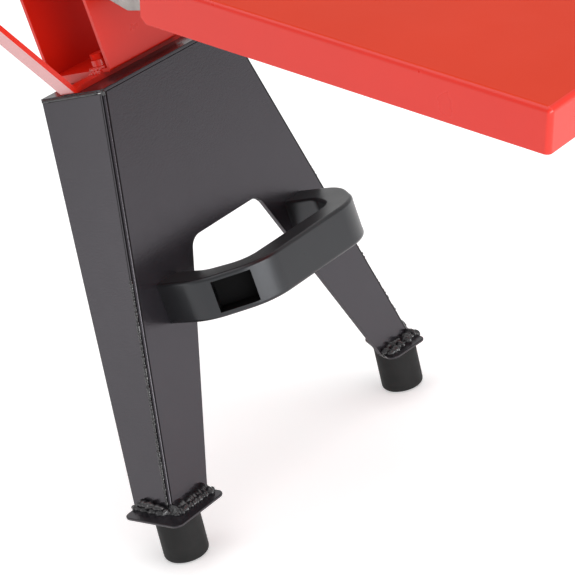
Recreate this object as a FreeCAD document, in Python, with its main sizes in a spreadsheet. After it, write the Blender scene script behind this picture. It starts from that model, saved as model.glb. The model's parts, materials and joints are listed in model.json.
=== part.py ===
"""Horizontal electric log splitter with a splayed front leg, carry handle, cradle rails and an outfeed tray.

The long axis of the machine is Y. The leg end is towards -Y and the pump end towards +Y, and Z points up
from the ground. Lengths below are measured from a line on the ground under the front feet, and every solid
is then moved back by `shift`, so that the origin is on the ground under the middle of the whole machine.
"""
import FreeCAD, Part
import math
import os
import re
import Sketcher

SIZES = {
    # front leg: a leaning plate with splayed legs, side plates and a cap
    "leg_top_y": 51.5, "leg_top_z": 491, "leg_lean": 7.76, "leg_top_half": 106, "leg_flare": 0.2696,
    "leg_length": 455, "leg_plate": 5.5, "leg_edge": 4.5, "arch_half": 57.6, "arch_top": 185.7,
    "arch_flare": 0.4245, "arch_round": 18, "leg_depth": 98, "leg_depth_low": 53, "side_plate": 4,
    "cap_plate": 4,
    # front feet
    "foot_x": 204, "foot_y": 6, "foot_radius": 25, "foot_tube_radius": 22, "foot_tube_wall": 3,
    "foot_floor": 6, "foot_height": 58, "foot_plate": 3, "foot_plate_side": 80, "foot_plate_round": 9,
    "sleeve_round": 6, "sleeve_gap": 0.3,
    # carry handle on the leg's outer face
    "handle_low": 256, "handle_height": 47, "handle_half": 130, "handle_reach": 115, "handle_arm": 37,
    "grip_half": 84, "grip_depth": 33, "shoulder_y": 58, "handle_screw_x": 112, "handle_edge": 4,
    "screw_seat_y": -34, "screw_seat_radius": 7.2,
    "handle_round": 60, "handle_inner_round": 30, "handle_flare": 2, "inner_shoulder": 45,
    "inner_grip_half": 74, "pocket_width": 44, "pocket_height": 35, "pocket_depth": 24,
    # flat bar straps and rails that cradle the log
    "strap_bar": 6, "strap_width": 21, "strap_y": 42, "strap_angle": 55, "strap_arm": 218, "strap_bend": 7,
    "rear_strap_y": 560, "rear_strap_half": 181, "rear_strap_arm": 86.7,
    "rail_x": 228.5, "rail_z": 677, "rail_radius": 8, "rail_front": 105, "rail_rear": 600,
    # pedestal between the leg cap and the beam
    "pedestal_half": 58, "pedestal_y": 30, "pedestal_depth": 98, "pedestal_sheet": 4,
    "pedestal_height": 150, "pedestal_bend": 3, "packer_y": 63.5, "packer_width": 64,
    "pedestal_bolt_x": 47, "pedestal_bolt_y": 80, "pedestal_boss": 10, "pedestal_boss_radius": 10,
    # beam, an I section
    "beam_low": 600, "beam_height": 60, "beam_half": 50, "beam_flange": 8, "beam_web": 8,
    "beam_front": -60, "beam_rear": 1122, "end_plate": 8, "end_plate_half": 57,
    # bolt shank radii, the holes round them, and their shank lengths
    "screw": 4, "screw_hole": 4.3, "screw_head": 8, "screw_length": 50, "screw_nut_at": 39.5,
    "sheet_bolt": 5, "sheet_bolt_hole": 5.3, "sheet_bolt_head": 6.4, "sheet_nut_at": 14,
    "pedestal_bolt_length": 36, "pedestal_nut_at": 24, "stand_bolt_length": 24,
    "beam_bolt": 6, "beam_bolt_hole": 6.3, "beam_bolt_head": 7.5, "wedge_bolt_length": 38,
    "wedge_nut_at": 20, "head_bolt_length": 24, "gib_bolt": 4, "gib_bolt_hole": 4.2, "gib_bolt_head": 5,
    "gib_bolt_length": 9.8, "thread_gap": 0.1, "wedge_bolt_x": 38, "wedge_bolt_front": -8,
    "wedge_bolt_rear": 113, "head_bolt_x": 30, "stand_bolt_x": 24, "stand_bolt_y": 58, "gib_bolt_end": 16,
    # wedge and nose casting
    "wedge_edge_y": 110, "wedge_back_y": 0, "wedge_half": 30, "wedge_height": 190, "wedge_taper": 85,
    "wedge_base": 12, "wedge_base_front": -20, "wedge_base_length": 145, "wedge_slope": 45, "nose_half": 50,
    "nose_front": -42, "nose_rear": 74, "nose_belly_front": 22, "nose_belly_rear": 44, "nose_lip": 14,
    "nose_belly": 39, "nose_heel": 23, "nose_round": 5,
    # push block, rod and piston
    "face_y": 580, "face_plate": 12, "block_half": 51, "block_length": 70, "block_gap": 0.4,
    "block_top": 815, "block_shoulder": 35, "block_chamfer": 28, "block_round": 4, "tooth": 4,
    "gib": 10, "gib_reach": 13, "gib_top": 700, "gib_low": 640,
    "axis_z": 735, "rod_radius": 18, "fit": 0.06, "piston_radius": 37.44, "piston_front": 1105,
    "piston_length": 22, "seal_at": 8, "seal_width": 6, "seal_depth": 4,
    # cylinder
    "head_front": 680, "head_depth": 40, "head_half": 55, "barrel_radius": 45, "barrel_bore": 37.5,
    "barrel_rear": 1130, "gland_radius": 32, "gland_depth": 12, "wiper_depth": 4, "tie_offset": 44,
    "tie_radius": 6, "tie_hole": 6.2, "tie_in_block": 12, "tie_end": 13, "tie_nut": 10, "saddle_y": 900,
    "saddle_depth": 40, "saddle_half": 32, "port_depth": 12, "port_hole": 5.1,
    # pump block
    "pump_depth": 85, "pump_low": 425, "pump_waist": 640, "pump_low_half": 50, "pump_top": 795,
    # electric motor under the beam
    "motor_z": 505, "motor_core": 67, "motor_fins": 75, "fin_width": 3, "motor_front": 905,
    "motor_rear": 1118, "motor_wall": 6, "stator_bore": 43, "stator_length": 110, "shaft_radius": 9,
    "rotor_radius": 42, "bearing_radius": 18, "fan_cover_front": 845,
    "fan_cover_radius": 78, "cover_sheet": 2.5, "cover_overlap": 12, "fan_y": 868, "fan_width": 20,
    "fan_radius": 64, "fan_blade": 3, "shield": 8, "slot_reach": 64, "slot_pitch": 13, "slot_height": 6,
    "shaft_in_pump": 12, "shaft_front": 8, "pump_shaft_hole": 20,
    # switch box with two buttons, and the power inlet
    "switch_x": 50, "switch_width": 46, "switch_y": 1137, "switch_length": 72, "switch_z": 500,
    "switch_height": 112, "button_radius": 10, "button_gap": 0.35, "button_stands": 7, "button_length": 13,
    "button_round": 1.5, "button_hole_depth": 12, "start_height": 78, "stop_height": 40, "switch_round": 6,
    "inlet_radius": 17, "inlet_wall": 2.5, "inlet_depth": 22, "inlet_pin": 2.5, "inlet_pin_length": 18,
    # valve, its lever and the bleed screw
    "valve_x": 57, "valve_width": 35, "valve_y": 1140, "valve_length": 62, "valve_z": 690,
    "valve_height": 60, "spool_radius": 6, "spool_front": 1103.5, "lever_y": 1098, "lever_pivot_z": 750,
    "lever_low": 706, "lever_top": 862, "lever_width": 20, "lever_bar": 6, "lever_pin": 4, "lever_boss": 8,
    "ear": 4, "ear_gap": 0.5, "ear_reach": 10, "ear_height": 26, "ear_below": 14,
    "bleed_x": 35, "bleed_y": 1172, "bleed_stem": 4, "bleed_head": 9, "bleed_hole": 20, "bleed_in": 18,
    "bleed_lift": 3,
    # hydraulic pipes and oil tank
    "pipe_radius": 5, "pipe_x": 28, "pipe_top": 822, "pipe_front": 700, "pipe_rear": 1160,
    "pipe_bend": 15, "tank_y": 640, "tank_length": 180, "tank_half": 50, "tank_height": 112,
    "tank_sheet": 3, "suction_x": 40, "suction_z": 584, "filler_y": 690, "filler_z": 560,
    "filler_radius": 17, "filler_stem": 11, "filler_height": 12, "dipstick_radius": 2, "dipstick_length": 70,
    "tank_round": 10, "union_radius": 10, "union_length": 9,
    # rear stand, axle and wheels
    "axle_y": 1000, "axle_z": 100, "axle_radius": 10, "axle_half": 182, "stand_half": 92, "stand_plate": 6,
    "stand_top_half": 75, "stand_low_half": 38, "stand_low": 62, "stand_round": 25, "brace_z": 300,
    "brace_radius": 12, "brace_wall": 2.5,
    "wheel_x": 145, "wheel_width": 46, "rim_radius": 70, "hub_radius": 20, "rim_width": 40,
    "washer_gap": 0.5, "washer": 2.5, "washer_radius": 18, "split_pin": 1.6, "split_pin_length": 34,
    "split_pin_end": 6, "spacer_wall": 5, "rim_wall": 8, "web_half": 4, "window_radius": 11,
    # outfeed tray, a folded sheet that slopes down and away from the wedge
    "tray_rear_y": -84, "tray_rear_z": 627.5, "tray_slope": 15.6, "tray_length": 467, "tray_half": 150,
    "tray_skirt": 46, "tray_sheet": 3, "tray_bend": 6, "tray_corner": 6, "bracket_bar": 6,
    "bracket_width": 30, "bracket_length": 250, "bracket_front": -160,
}

document = FreeCAD.newDocument("log_splitter")
sheet = document.addObject("Spreadsheet::Sheet", "dims")
for row, (alias, size) in enumerate(SIZES.items(), start=1):
    sheet.set(f"A{row}", str(size))
    sheet.setAlias(f"A{row}", alias)
document.recompute()

X_AXIS = FreeCAD.Vector(1, 0, 0)
Y_AXIS = FreeCAD.Vector(0, 1, 0)
Z_AXIS = FreeCAD.Vector(0, 0, 1)
TURNS = {
    "z": FreeCAD.Rotation(),
    "x": FreeCAD.Rotation(Y_AXIS, 90),
    "-x": FreeCAD.Rotation(Y_AXIS, -90),
    "y": FreeCAD.Rotation(X_AXIS, -90),
    "-y": FreeCAD.Rotation(X_AXIS, 90),
    "-z": FreeCAD.Rotation(X_AXIS, 180),
}
OPPOSITE = {"z": "-z", "-z": "z", "x": "-x", "-x": "x", "y": "-y", "-y": "y"}
CUTTER = 1200
DRILL = 60
NEAR = 0.01
HEX_HEAD = 1.9
ROUND_HEAD = 1.6
NUT_HEIGHT = 1.6
parts = []


def bound(expression):
    """The expression with every size named in it pointing at the spreadsheet."""
    return re.sub(r"[a-z_]+", lambda m: "dims." + m[0] if m[0] in SIZES else m[0], str(expression))


def number(expression):
    """The value of an expression of named sizes."""
    return float(sheet.evalExpression(str(expression)))


def vector(point):
    return FreeCAD.Vector(*[number(coordinate) for coordinate in point])


def frame(point, rotation=TURNS["z"], parent=FreeCAD.Placement()):
    """A frame at a point of its parent frame, turned by a rotation."""
    return parent.multiply(FreeCAD.Placement(vector(point), rotation))


def node(label, shape_object):
    """Names a finished sub-part and adds it to the ones that are written."""
    shape_object.Label = label
    parts.append(shape_object)
    return shape_object


TRAY_FRONT = (
    "tray_rear_y - tray_length * cos(tray_slope) + tray_bend * (cos(tray_slope) + sin(tray_slope) - 1)"
)
shift = number(f"(beam_rear + end_plate + pump_depth + {TRAY_FRONT}) / 2")
GROUND = FreeCAD.Placement(FreeCAD.Vector(0, -shift, 0), FreeCAD.Rotation())
LEG = frame(("0", "leg_top_y", "leg_top_z"), FreeCAD.Rotation(X_AXIS, -number("leg_lean")), GROUND)
TRAY = frame(("0", "tray_rear_y", "tray_rear_z"), FreeCAD.Rotation(X_AXIS, number("tray_slope")), GROUND)


def box(lengths, corner, home=GROUND):
    solid = document.addObject("Part::Box", "block")
    for side, expression in zip(("Length", "Width", "Height"), lengths):
        solid.setExpression(side, bound(expression))
    solid.Placement = frame(corner, parent=home)
    return solid


def cylinder(radius, length, start, axis="z", home=GROUND):
    solid = document.addObject("Part::Cylinder", "round")
    solid.setExpression("Radius", bound(radius))
    solid.setExpression("Height", bound(length))
    solid.Placement = frame(start, TURNS[axis], home)
    return solid


def hexagon(radius, length, start, axis="z", home=GROUND):
    solid = document.addObject("Part::Prism", "hexagon")
    solid.Polygon = 6
    solid.setExpression("Circumradius", bound(radius))
    solid.setExpression("Height", bound(length))
    solid.Placement = frame(start, TURNS[axis], home)
    return solid


def cut(base, *tools):
    for tool in tools:
        result = document.addObject("Part::Cut", "cut")
        result.Base = base
        result.Tool = tool
        base = result
    return base


def join(*solids):
    if len(solids) == 1:
        return solids[0]
    result = document.addObject("Part::MultiFuse", "join")
    result.Shapes = list(solids)
    return result


def tube(outer, inner, length, start, axis="z", home=GROUND):
    return cut(cylinder(outer, length, start, axis, home), cylinder(inner, length, start, axis, home))


def sketch_of(body, plane, corners):
    """A closed outline on one of the body's origin planes. Every corner is held by two bound distances."""
    sketch = body.newObject("Sketcher::SketchObject", "outline")
    origin_plane = [item for item in body.Origin.OriginFeatures if item.Role == plane + "_Plane"][0]
    sketch.AttachmentSupport = [(origin_plane, "")]
    sketch.MapMode = "FlatFace"
    points = [FreeCAD.Vector(number(x), number(y), 0) for x, y in corners]
    for index, point in enumerate(points):
        following = points[(index + 1) % len(points)]
        sketch.addGeometry(Part.LineSegment(point, following), False)
    for index, (corner, point) in enumerate(zip(corners, points)):
        sketch.addConstraint(Sketcher.Constraint("Coincident", index, 2, (index + 1) % len(points), 1))
        for kind, expression, value in zip(("DistanceX", "DistanceY"), corner, point):
            held = sketch.addConstraint(Sketcher.Constraint(kind, -1, 1, index, 1, value))
            sketch.setExpression(f"Constraints[{held}]", bound(expression))
    return sketch


def prism(plane, corners, depth, start, home=GROUND):
    """A body padded from an outline along the plane's own normal: +Z for XY, -Y for XZ and +X for YZ."""
    body = document.addObject("PartDesign::Body", "body")
    pad = body.newObject("PartDesign::Pad", "pad")
    pad.Profile = sketch_of(body, plane, corners)
    pad.setExpression("Length", bound(depth))
    body.Placement = frame(start, parent=home)
    return body


def revolved(corners, start, axis="z", home=GROUND):
    """A body turned from a half section of (radius, distance along the axis) corners."""
    body = document.addObject("PartDesign::Body", "turned")
    sketch = sketch_of(body, "XZ", corners)
    turned = body.newObject("PartDesign::Revolution", "turn")
    turned.Profile = sketch
    turned.ReferenceAxis = (sketch, ["V_Axis"])
    body.Placement = frame(start, TURNS[axis], home)
    return body


def rounded(body, radius, wanted):
    """Rounds the edges of a body that wanted(edge) picks, in the body's own coordinates."""
    document.recompute()
    base = body.Tip
    names = [f"Edge{index}" for index, edge in enumerate(base.Shape.Edges, start=1) if wanted(edge)]
    fillet = body.newObject("PartDesign::Fillet", "fillet")
    fillet.Base = (base, names)
    fillet.setExpression("Radius", bound(radius))
    body.Tip = fillet
    return body


def ends(edge):
    return [vertex.Point for vertex in edge.Vertexes]


def standing(axis, *places):
    """Picks straight edges that run along an axis through one of the places, given in the other two axes."""
    others = [index for index in range(3) if index != "xyz".index(axis)]

    def wanted(edge):
        if len(edge.Vertexes) != 2:
            return False
        return any(
            all(abs(point[index] - number(value)) < NEAR
                for point in ends(edge) for index, value in zip(others, place))
            for place in places
        )

    return wanted


def bolts(places, home, axis, size, head, shank, nut_at=None, socket=False):
    """Bolts with their heads at each place. The shank runs against the axis, with a nut at nut_at."""
    solids = []
    for place in places:
        if socket:
            top = cylinder(f"{size} * {ROUND_HEAD}", head, place, axis, home)
        else:
            top = hexagon(f"{size} * {HEX_HEAD}", head, place, axis, home)
        solids.append(join(top, cylinder(size, shank, place, OPPOSITE[axis], home)))
        if nut_at is not None:
            seat = frame(place, TURNS[OPPOSITE[axis]], home)
            start = ("0", "0", nut_at)
            solids.append(cut(
                hexagon(f"{size} * {HEX_HEAD}", f"{size} * {NUT_HEIGHT}", start, "z", seat),
                cylinder(f"{size} + thread_gap", f"{size} * {NUT_HEIGHT}", start, "z", seat),
            ))
    return solids


def drills(places, home, axis, radius, length=DRILL):
    """Round tools that make the holes for bolts at the places."""
    return [cylinder(radius, length, place, OPPOSITE[axis], home) for place in places]


def below(height):
    """Everything under a height, used to trim leaning pieces to a level plane."""
    return box((2 * CUTTER, 2 * CUTTER, CUTTER), (-CUTTER, -CUTTER, f"{height} - {CUTTER}"))


def above(height):
    return box((2 * CUTTER, 2 * CUTTER, CUTTER), (-CUTTER, -CUTTER, height))


def make_leg():
    """The leaning front plate with its arch, two side plates and the cap."""
    low = "-leg_length"
    outer_low = "leg_top_half + leg_flare * leg_length"
    inner_low = "arch_half + arch_flare * (leg_length - arch_top)"
    corners = [
        ("-leg_top_half", "0"), (f"-({outer_low})", low), (f"-({inner_low})", low),
        ("-arch_half", "-arch_top"), ("arch_half", "-arch_top"),
        (inner_low, low), (outer_low, low), ("leg_top_half", "0"),
    ]
    plate = prism("XZ", corners, "leg_plate", ("0", "leg_plate", "0"), LEG)
    arch_corners = [("-arch_half", "-arch_top"), ("arch_half", "-arch_top")]
    rounded(plate, "arch_round", standing("y", *arch_corners))

    def outer_front(edge):
        points = ends(edge)
        outside = all(abs(p.x) > number("leg_top_half") - NEAR for p in points)
        in_front = all(abs(p.y + number("leg_plate")) < NEAR for p in points)
        return outside and in_front and abs(points[0].z - points[-1].z) > number("leg_plate")

    rounded(plate, "leg_edge", outer_front)
    floor = below("foot_height + foot_plate")
    holes = drills(HANDLE_SCREWS, LEG, "-y", "screw_hole")
    node("leg_front_plate", cut(plate, floor, *holes))
    flare_angle = math.degrees(math.atan(number("leg_flare")))
    side_length = "(leg_length + 20)"
    sides = []
    side = [("leg_plate", "0"), ("leg_depth", "0"), ("leg_depth_low", f"-{side_length}"),
            ("leg_plate", f"-{side_length}")]
    for sign, inset in ((-1, "0"), (1, "-side_plate")):
        home = frame((f"{sign} * leg_top_half", "0", "0"), FreeCAD.Rotation(Y_AXIS, -sign * flare_angle), LEG)
        sides.append(cut(prism("YZ", side, "side_plate", (inset, "0", "0"), home), floor))
    node("leg_side_plates", join(*sides))
    cap = box(("2 * leg_top_half - 2", "leg_depth", "cap_plate"), ("1 - leg_top_half", "1", "0"), LEG)
    node("leg_top_cap", cut(cap, *drills(PEDESTAL_BOLTS, LEG, "z", "sheet_bolt_hole")))


def make_feet():
    """Each foot is a plate on a short tube inside a rubber sleeve with a closed, rounded bottom."""
    half = "foot_plate_side / 2"
    square = [(f"-{half}", f"-{half}"), (half, f"-{half}"), (half, half), (f"-{half}", half)]
    top = "foot_height - sleeve_gap"
    sleeve = [("0", "0"), ("foot_radius", "0"), ("foot_radius", top), ("foot_tube_radius", top),
              ("foot_tube_radius", "foot_floor"), ("0", "foot_floor")]

    def bottom_edge(edge):
        return all(abs(p.z) < NEAR and p.x > number("foot_tube_radius / 2") for p in ends(edge))

    feet, sleeves = [], []
    for sign, outline in ((-1, square), (1, RIGHT_FOOT_PLATE)):
        x = f"{sign} * foot_x"
        plate = prism("XY", outline, "foot_plate", (x, "foot_y", "foot_height"))
        rounded(plate, "foot_plate_round", standing("z", *outline))
        feet.append(join(plate, tube("foot_tube_radius", "foot_tube_radius - foot_tube_wall",
                                     "foot_height - foot_floor", (x, "foot_y", "foot_floor"))))
        sleeves.append(rounded(revolved(sleeve, (x, "foot_y", "0")), "sleeve_round", bottom_edge))
    node("foot_plates", join(*feet))
    node("foot_sleeves", join(*sleeves))


def make_handle():
    """The moulded bow handle: two arms, two slanted shoulders with screw pockets, and a straight grip."""
    outer = [("handle_half", "0"), ("handle_half", "-shoulder_y"), ("grip_half", "-handle_reach"),
             ("-grip_half", "-handle_reach"), ("-handle_half", "-shoulder_y"), ("-handle_half", "0")]
    arm = "handle_half - handle_arm"
    back = "grip_depth - handle_reach"
    wide = f"{arm} + handle_flare"
    inner = [(f"-({arm})", "0"), (f"-({wide})", "-inner_shoulder"), ("-inner_grip_half", back),
             ("inner_grip_half", back), (wide, "-inner_shoulder"), (arm, "0")]
    body = prism("XY", outer + inner, "handle_height", ("0", "0", "-handle_low"), LEG)
    rounded(body, "handle_round", standing("z", *outer[1:5]))
    rounded(body, "handle_inner_round", standing("z", *inner[1:5]))

    def face_edges(edge):
        level = all(min(abs(p.z), abs(p.z - number("handle_height"))) < NEAR for p in ends(edge))
        at_leg = all(abs(p.y) < NEAR for p in ends(edge))
        return level and not at_leg

    rounded(body, "handle_edge", face_edges)
    run = number("handle_half - grip_half")
    fall = number("handle_reach - shoulder_y")
    slant = math.degrees(math.atan2(fall, run))
    tools = []
    for sign in (-1, 1):
        middle = (f"{sign} * (handle_half + grip_half) / 2", "-(shoulder_y + handle_reach) / 2",
                  "handle_height / 2 - handle_low")
        home = frame(middle, FreeCAD.Rotation(Z_AXIS, sign * slant), LEG)
        tools.append(box(("pocket_width", "2 * pocket_depth", "pocket_height"),
                         ("-pocket_width / 2", "-pocket_depth", "-pocket_height / 2"), home))
    holes = drills(HANDLE_SCREWS, LEG, "-y", "screw_hole")
    seats = drills(HANDLE_SCREWS, LEG, "y", "screw_seat_radius")
    node("carry_handle", cut(body, *tools, *seats, *holes))
    node("handle_screws", join(*bolts(HANDLE_SCREWS, LEG, "-y", "screw", "screw_head",
                                      "screw_length", nut_at="screw_nut_at", socket=True)))


def strap_outline(flat_half, arm, low):
    """A flat bar bent up at both ends, seen along the machine."""
    rise = f"{arm} * sin(strap_angle)"
    run = f"{arm} * cos(strap_angle)"
    tip = (f"{flat_half} + {run}", f"{low} + {rise}")
    inner_tip = (f"{flat_half} + {run} - strap_bar * sin(strap_angle)",
                 f"{low} + {rise} + strap_bar * cos(strap_angle)")
    inner_bend = (f"{flat_half} - strap_bar * tan(strap_angle / 2)", f"{low} + strap_bar")
    half = [(flat_half, low), tip, inner_tip, inner_bend]
    mirrored = [(f"-({x})", y) for x, y in half]
    return half + mirrored[::-1]


def make_straps_and_rails():
    front_outline = strap_outline("leg_top_half", "strap_arm", "cap_plate")
    front = prism("XZ", front_outline, "strap_width", ("0", "strap_y + strap_width", "0"), LEG)
    rounded(front, "strap_bend", standing("y", front_outline[0], front_outline[-1]))
    rear_outline = strap_outline("rear_strap_half", "rear_strap_arm", "beam_low - strap_bar")
    rear = prism("XZ", rear_outline, "strap_width", ("0", "rear_strap_y + strap_width", "0"))
    rounded(rear, "strap_bend", standing("y", rear_outline[0], rear_outline[-1]))
    front_drilled = cut(front, *drills(PEDESTAL_BOLTS[:2], LEG, "z", "sheet_bolt_hole"))
    node("cradle_straps", join(front_drilled, rear))
    rails = [
        cylinder("rail_radius", "rail_rear - rail_front", (f"{sign} * rail_x", "rail_front", "rail_z"), "y")
        for sign in (-1, 1)
    ]
    node("cradle_rails", join(*rails))


def make_pedestal():
    """A folded channel, open to both sides, bolted through the strap and a packer to the leg cap."""
    low = "cap_plate + strap_bar"
    rear = "pedestal_y + pedestal_depth"
    high = f"{low} + pedestal_height"
    section = [
        ("pedestal_y", low), (rear, low), (rear, high), (f"{rear} - pedestal_sheet", high),
        (f"{rear} - pedestal_sheet", f"{low} + pedestal_sheet"),
        ("pedestal_y + pedestal_sheet", f"{low} + pedestal_sheet"),
        ("pedestal_y + pedestal_sheet", high), ("pedestal_y", high),
    ]
    channel = prism("YZ", section, "2 * pedestal_half", ("-pedestal_half", "0", "0"), LEG)
    rounded(channel, "pedestal_bend", standing("x", section[0], section[1]))
    packer = box(("2 * pedestal_half", "packer_width", f"{low} - cap_plate + pedestal_sheet / 2"),
                 ("-pedestal_half", "packer_y", "cap_plate"), LEG)
    bosses = [cylinder("pedestal_boss_radius", "pedestal_boss + pedestal_sheet / 2", place, "-z", LEG)
              for place in PEDESTAL_BOLTS]
    holes = drills(PEDESTAL_BOLTS, LEG, "z", "sheet_bolt_hole")
    node("pedestal", cut(join(channel, packer, *bosses), above("beam_low"), *holes))
    node("pedestal_bolts", join(*bolts(PEDESTAL_BOLTS, LEG, "z", "sheet_bolt", "sheet_bolt_head",
                                       "pedestal_bolt_length", nut_at="pedestal_nut_at")))


def make_beam():
    half, web = "beam_half", "beam_web / 2"
    low, high = "beam_low", "beam_low + beam_height"
    right = [(half, low), (half, f"{low} + beam_flange"), (web, f"{low} + beam_flange"),
             (web, f"{high} - beam_flange"), (half, f"{high} - beam_flange"), (half, high)]
    outline = right + [(f"-({x})", y) for x, y in right[::-1]]
    bar = prism("XZ", outline, "beam_rear - beam_front", ("0", "beam_rear", "0"))
    holes = drills(WEDGE_BOLTS, GROUND, "z", "beam_bolt_hole")
    holes += drills(HEAD_BOLTS, GROUND, "-z", "beam_bolt_hole")
    holes += drills(STAND_BOLTS, GROUND, "-z", "sheet_bolt_hole", STAND_DRILL)
    plate = box(("2 * end_plate_half", "end_plate", "beam_height"),
                ("-end_plate_half", "beam_rear", "beam_low"))
    node("beam", cut(join(bar, plate), *holes))
    fasteners = bolts(WEDGE_BOLTS, GROUND, "z", "beam_bolt", "beam_bolt_head", "wedge_bolt_length",
                      nut_at="wedge_nut_at")
    fasteners += bolts(HEAD_BOLTS, GROUND, "-z", "beam_bolt", "beam_bolt_head", "head_bolt_length")
    fasteners += bolts(STAND_BOLTS, GROUND, "-z", "sheet_bolt", "sheet_bolt_head", "stand_bolt_length",
                       nut_at="sheet_nut_at")
    node("beam_bolts", join(*fasteners))


def make_wedge():
    """The splitting wedge on its bolted base, and the nose casting that hangs under the beam's front end."""
    top = "beam_low + beam_height + wedge_base"
    outline = [("0", "wedge_edge_y"), ("-wedge_half", "wedge_edge_y - wedge_taper"),
               ("-wedge_half", "wedge_back_y"), ("wedge_half", "wedge_back_y"),
               ("wedge_half", "wedge_edge_y - wedge_taper")]
    wedge = prism("XY", outline, "wedge_height", ("0", "0", top))
    slope = [("wedge_back_y - 5", "wedge_height - wedge_slope"), ("wedge_edge_y", "wedge_height + 20"),
             ("wedge_back_y - 5", "wedge_height + 20")]
    node("wedge", cut(wedge, prism("YZ", slope, "4 * wedge_half", ("-2 * wedge_half", "0", top))))
    base = box(("2 * beam_half", "wedge_base_length", "wedge_base"),
               ("-beam_half", "wedge_base_front", "beam_low + beam_height"))
    node("wedge_base", cut(base, *drills(WEDGE_BOLTS, GROUND, "z", "beam_bolt_hole")))
    nose = [("nose_front", "beam_low"), ("nose_front", "beam_low - nose_lip"),
            ("nose_belly_front", "beam_low - nose_belly"), ("nose_belly_rear", "beam_low - nose_belly"),
            ("nose_rear", "beam_low - nose_heel"), ("nose_rear", "beam_low")]
    casting = prism("YZ", nose, "2 * nose_half", ("-nose_half", "0", "0"))
    rounded(casting, "nose_round", standing("x", *nose[1:5]))
    node("nose_casting", casting)


def make_ram():
    """Push block on the beam with its toothed face, gibs under the flange, the rod and the piston."""
    block_y = "face_y + face_plate"
    low = "beam_low + beam_height + block_gap"
    rear = f"{block_y} + block_length"
    side = [(block_y, low), (rear, low), (rear, "axis_z + block_shoulder"),
            (f"{rear} - block_chamfer", "block_top"), (block_y, "block_top")]
    block = prism("YZ", side, "2 * block_half", ("-block_half", "0", "0"))
    node("push_block", rounded(block, "block_round", standing("x", *side[2:5])))
    teeth = 6
    pitch = f"(block_top - ({low})) / {teeth}"
    outline = [(block_y, low)]
    for index in range(teeth):
        outline.append(("face_y + tooth", f"{low} + {index} * ({pitch})"))
        outline.append(("face_y", f"{low} + ({index} + 0.5) * ({pitch})"))
    outline += [("face_y + tooth", "block_top"), (block_y, "block_top")]
    node("push_face", prism("YZ", outline, "2 * block_half", ("-block_half", "0", "0")))
    hook = "beam_low + beam_height - beam_flange - block_gap"
    gibs, gib_bolts = [], []
    for sign in (-1, 1):
        outside, under = "block_half + gib", "block_half - gib_reach"
        profile = [("block_half", "gib_top"), (outside, "gib_top"), (outside, "gib_low"),
                   (under, "gib_low"), (under, hook), ("block_half", hook)]
        corners = [(f"{sign} * ({x})", y) for x, y in profile]
        gib = prism("XZ", corners, "block_length", ("0", rear, "0"))
        places = [(f"{sign} * (block_half + gib)", y, "gib_top - 18")
                  for y in (f"{block_y} + gib_bolt_end", f"{rear} - gib_bolt_end")]
        outward = "x" if sign > 0 else "-x"
        gibs.append(cut(gib, *drills(places, GROUND, outward, "gib_bolt_hole", "gib_bolt_length + 4")))
        gib_bolts += bolts(places, GROUND, outward, "gib_bolt", "gib_bolt_head", "gib_bolt_length")
    node("slide_gibs", join(*gibs))
    node("gib_bolts", join(*gib_bolts))
    node("piston_rod", cylinder("rod_radius", f"piston_front - ({rear})", ("0", rear, "axis_z"), "y"))
    groove, groove_end = "piston_radius - seal_depth", "seal_at + seal_width"
    piston = [("0", "0"), ("piston_radius", "0"), ("piston_radius", "seal_at"), (groove, "seal_at"),
              (groove, groove_end), ("piston_radius", groove_end), ("piston_radius", "piston_length"),
              ("0", "piston_length")]
    seal = tube("piston_radius", groove, "seal_width", ("0", "piston_front + seal_at", "axis_z"), "y")
    node("piston", revolved(piston, ("0", "piston_front", "axis_z"), "y"))
    node("piston_seal", seal)


def make_cylinder():
    """Front head, barrel, gland, wiper, tie rods and the saddle under the barrel."""
    top = "beam_low + beam_height"
    head = box(("2 * head_half", "head_depth", f"axis_z + head_half - ({top})"),
               ("-head_half", "head_front", top))
    bore = cylinder("rod_radius + fit", "2 * head_depth", ("0", "head_front - 10", "axis_z"), "y")
    tie_tools = [cylinder("tie_hole", "2 * head_depth", (x, "head_front - 10", z), "y") for x, z in TIES]
    head_screws = drills(HEAD_BOLTS, GROUND, "-z", "beam_bolt_hole", "head_bolt_length + 6")
    port = cylinder("port_hole", "port_depth", ("pipe_x", "pipe_front", "axis_z + head_half - port_depth"))
    node("front_head", cut(head, bore, port, *tie_tools, *head_screws))
    gland = cut(cylinder("gland_radius", "gland_depth", ("0", "head_front - gland_depth", "axis_z"), "y"),
                cylinder("rod_radius + fit", "gland_depth", ("0", "head_front - gland_depth", "axis_z"), "y"))
    node("gland_cap", gland)
    lip = "rod_radius + fit"
    wiper = [(lip, "0"), (f"{lip} + 3", "0"), (f"{lip} + 6", "wiper_depth"), (lip, "wiper_depth")]
    node("rod_wiper", revolved(wiper, ("0", "head_front - gland_depth - wiper_depth", "axis_z"), "y"))
    barrel_start = ("0", "head_front + head_depth", "axis_z")
    node("cylinder_barrel", tube("barrel_radius", "barrel_bore", "barrel_rear - head_front - head_depth",
                                 barrel_start, "y"))
    rods = []
    nuts = []
    for x, z in TIES:
        rods.append(cylinder("tie_radius", "barrel_rear + tie_in_block - head_front + tie_end",
                             (x, "head_front - tie_end", z), "y"))
        nut_at = (x, "head_front - tie_nut", z)
        nuts.append(cut(hexagon(f"tie_radius * {HEX_HEAD}", "tie_nut", nut_at, "y"),
                        cylinder("tie_radius + thread_gap", "tie_nut", nut_at, "y")))
    node("tie_rods", join(*rods, *nuts))
    saddle = box(("2 * saddle_half", "saddle_depth", "axis_z - beam_low - beam_height - 20"),
                 ("-saddle_half", "saddle_y", top))
    node("barrel_saddle", cut(saddle, cylinder("barrel_radius", "2 * saddle_depth",
                                               ("0", "saddle_y - 10", "axis_z"), "y")))


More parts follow.
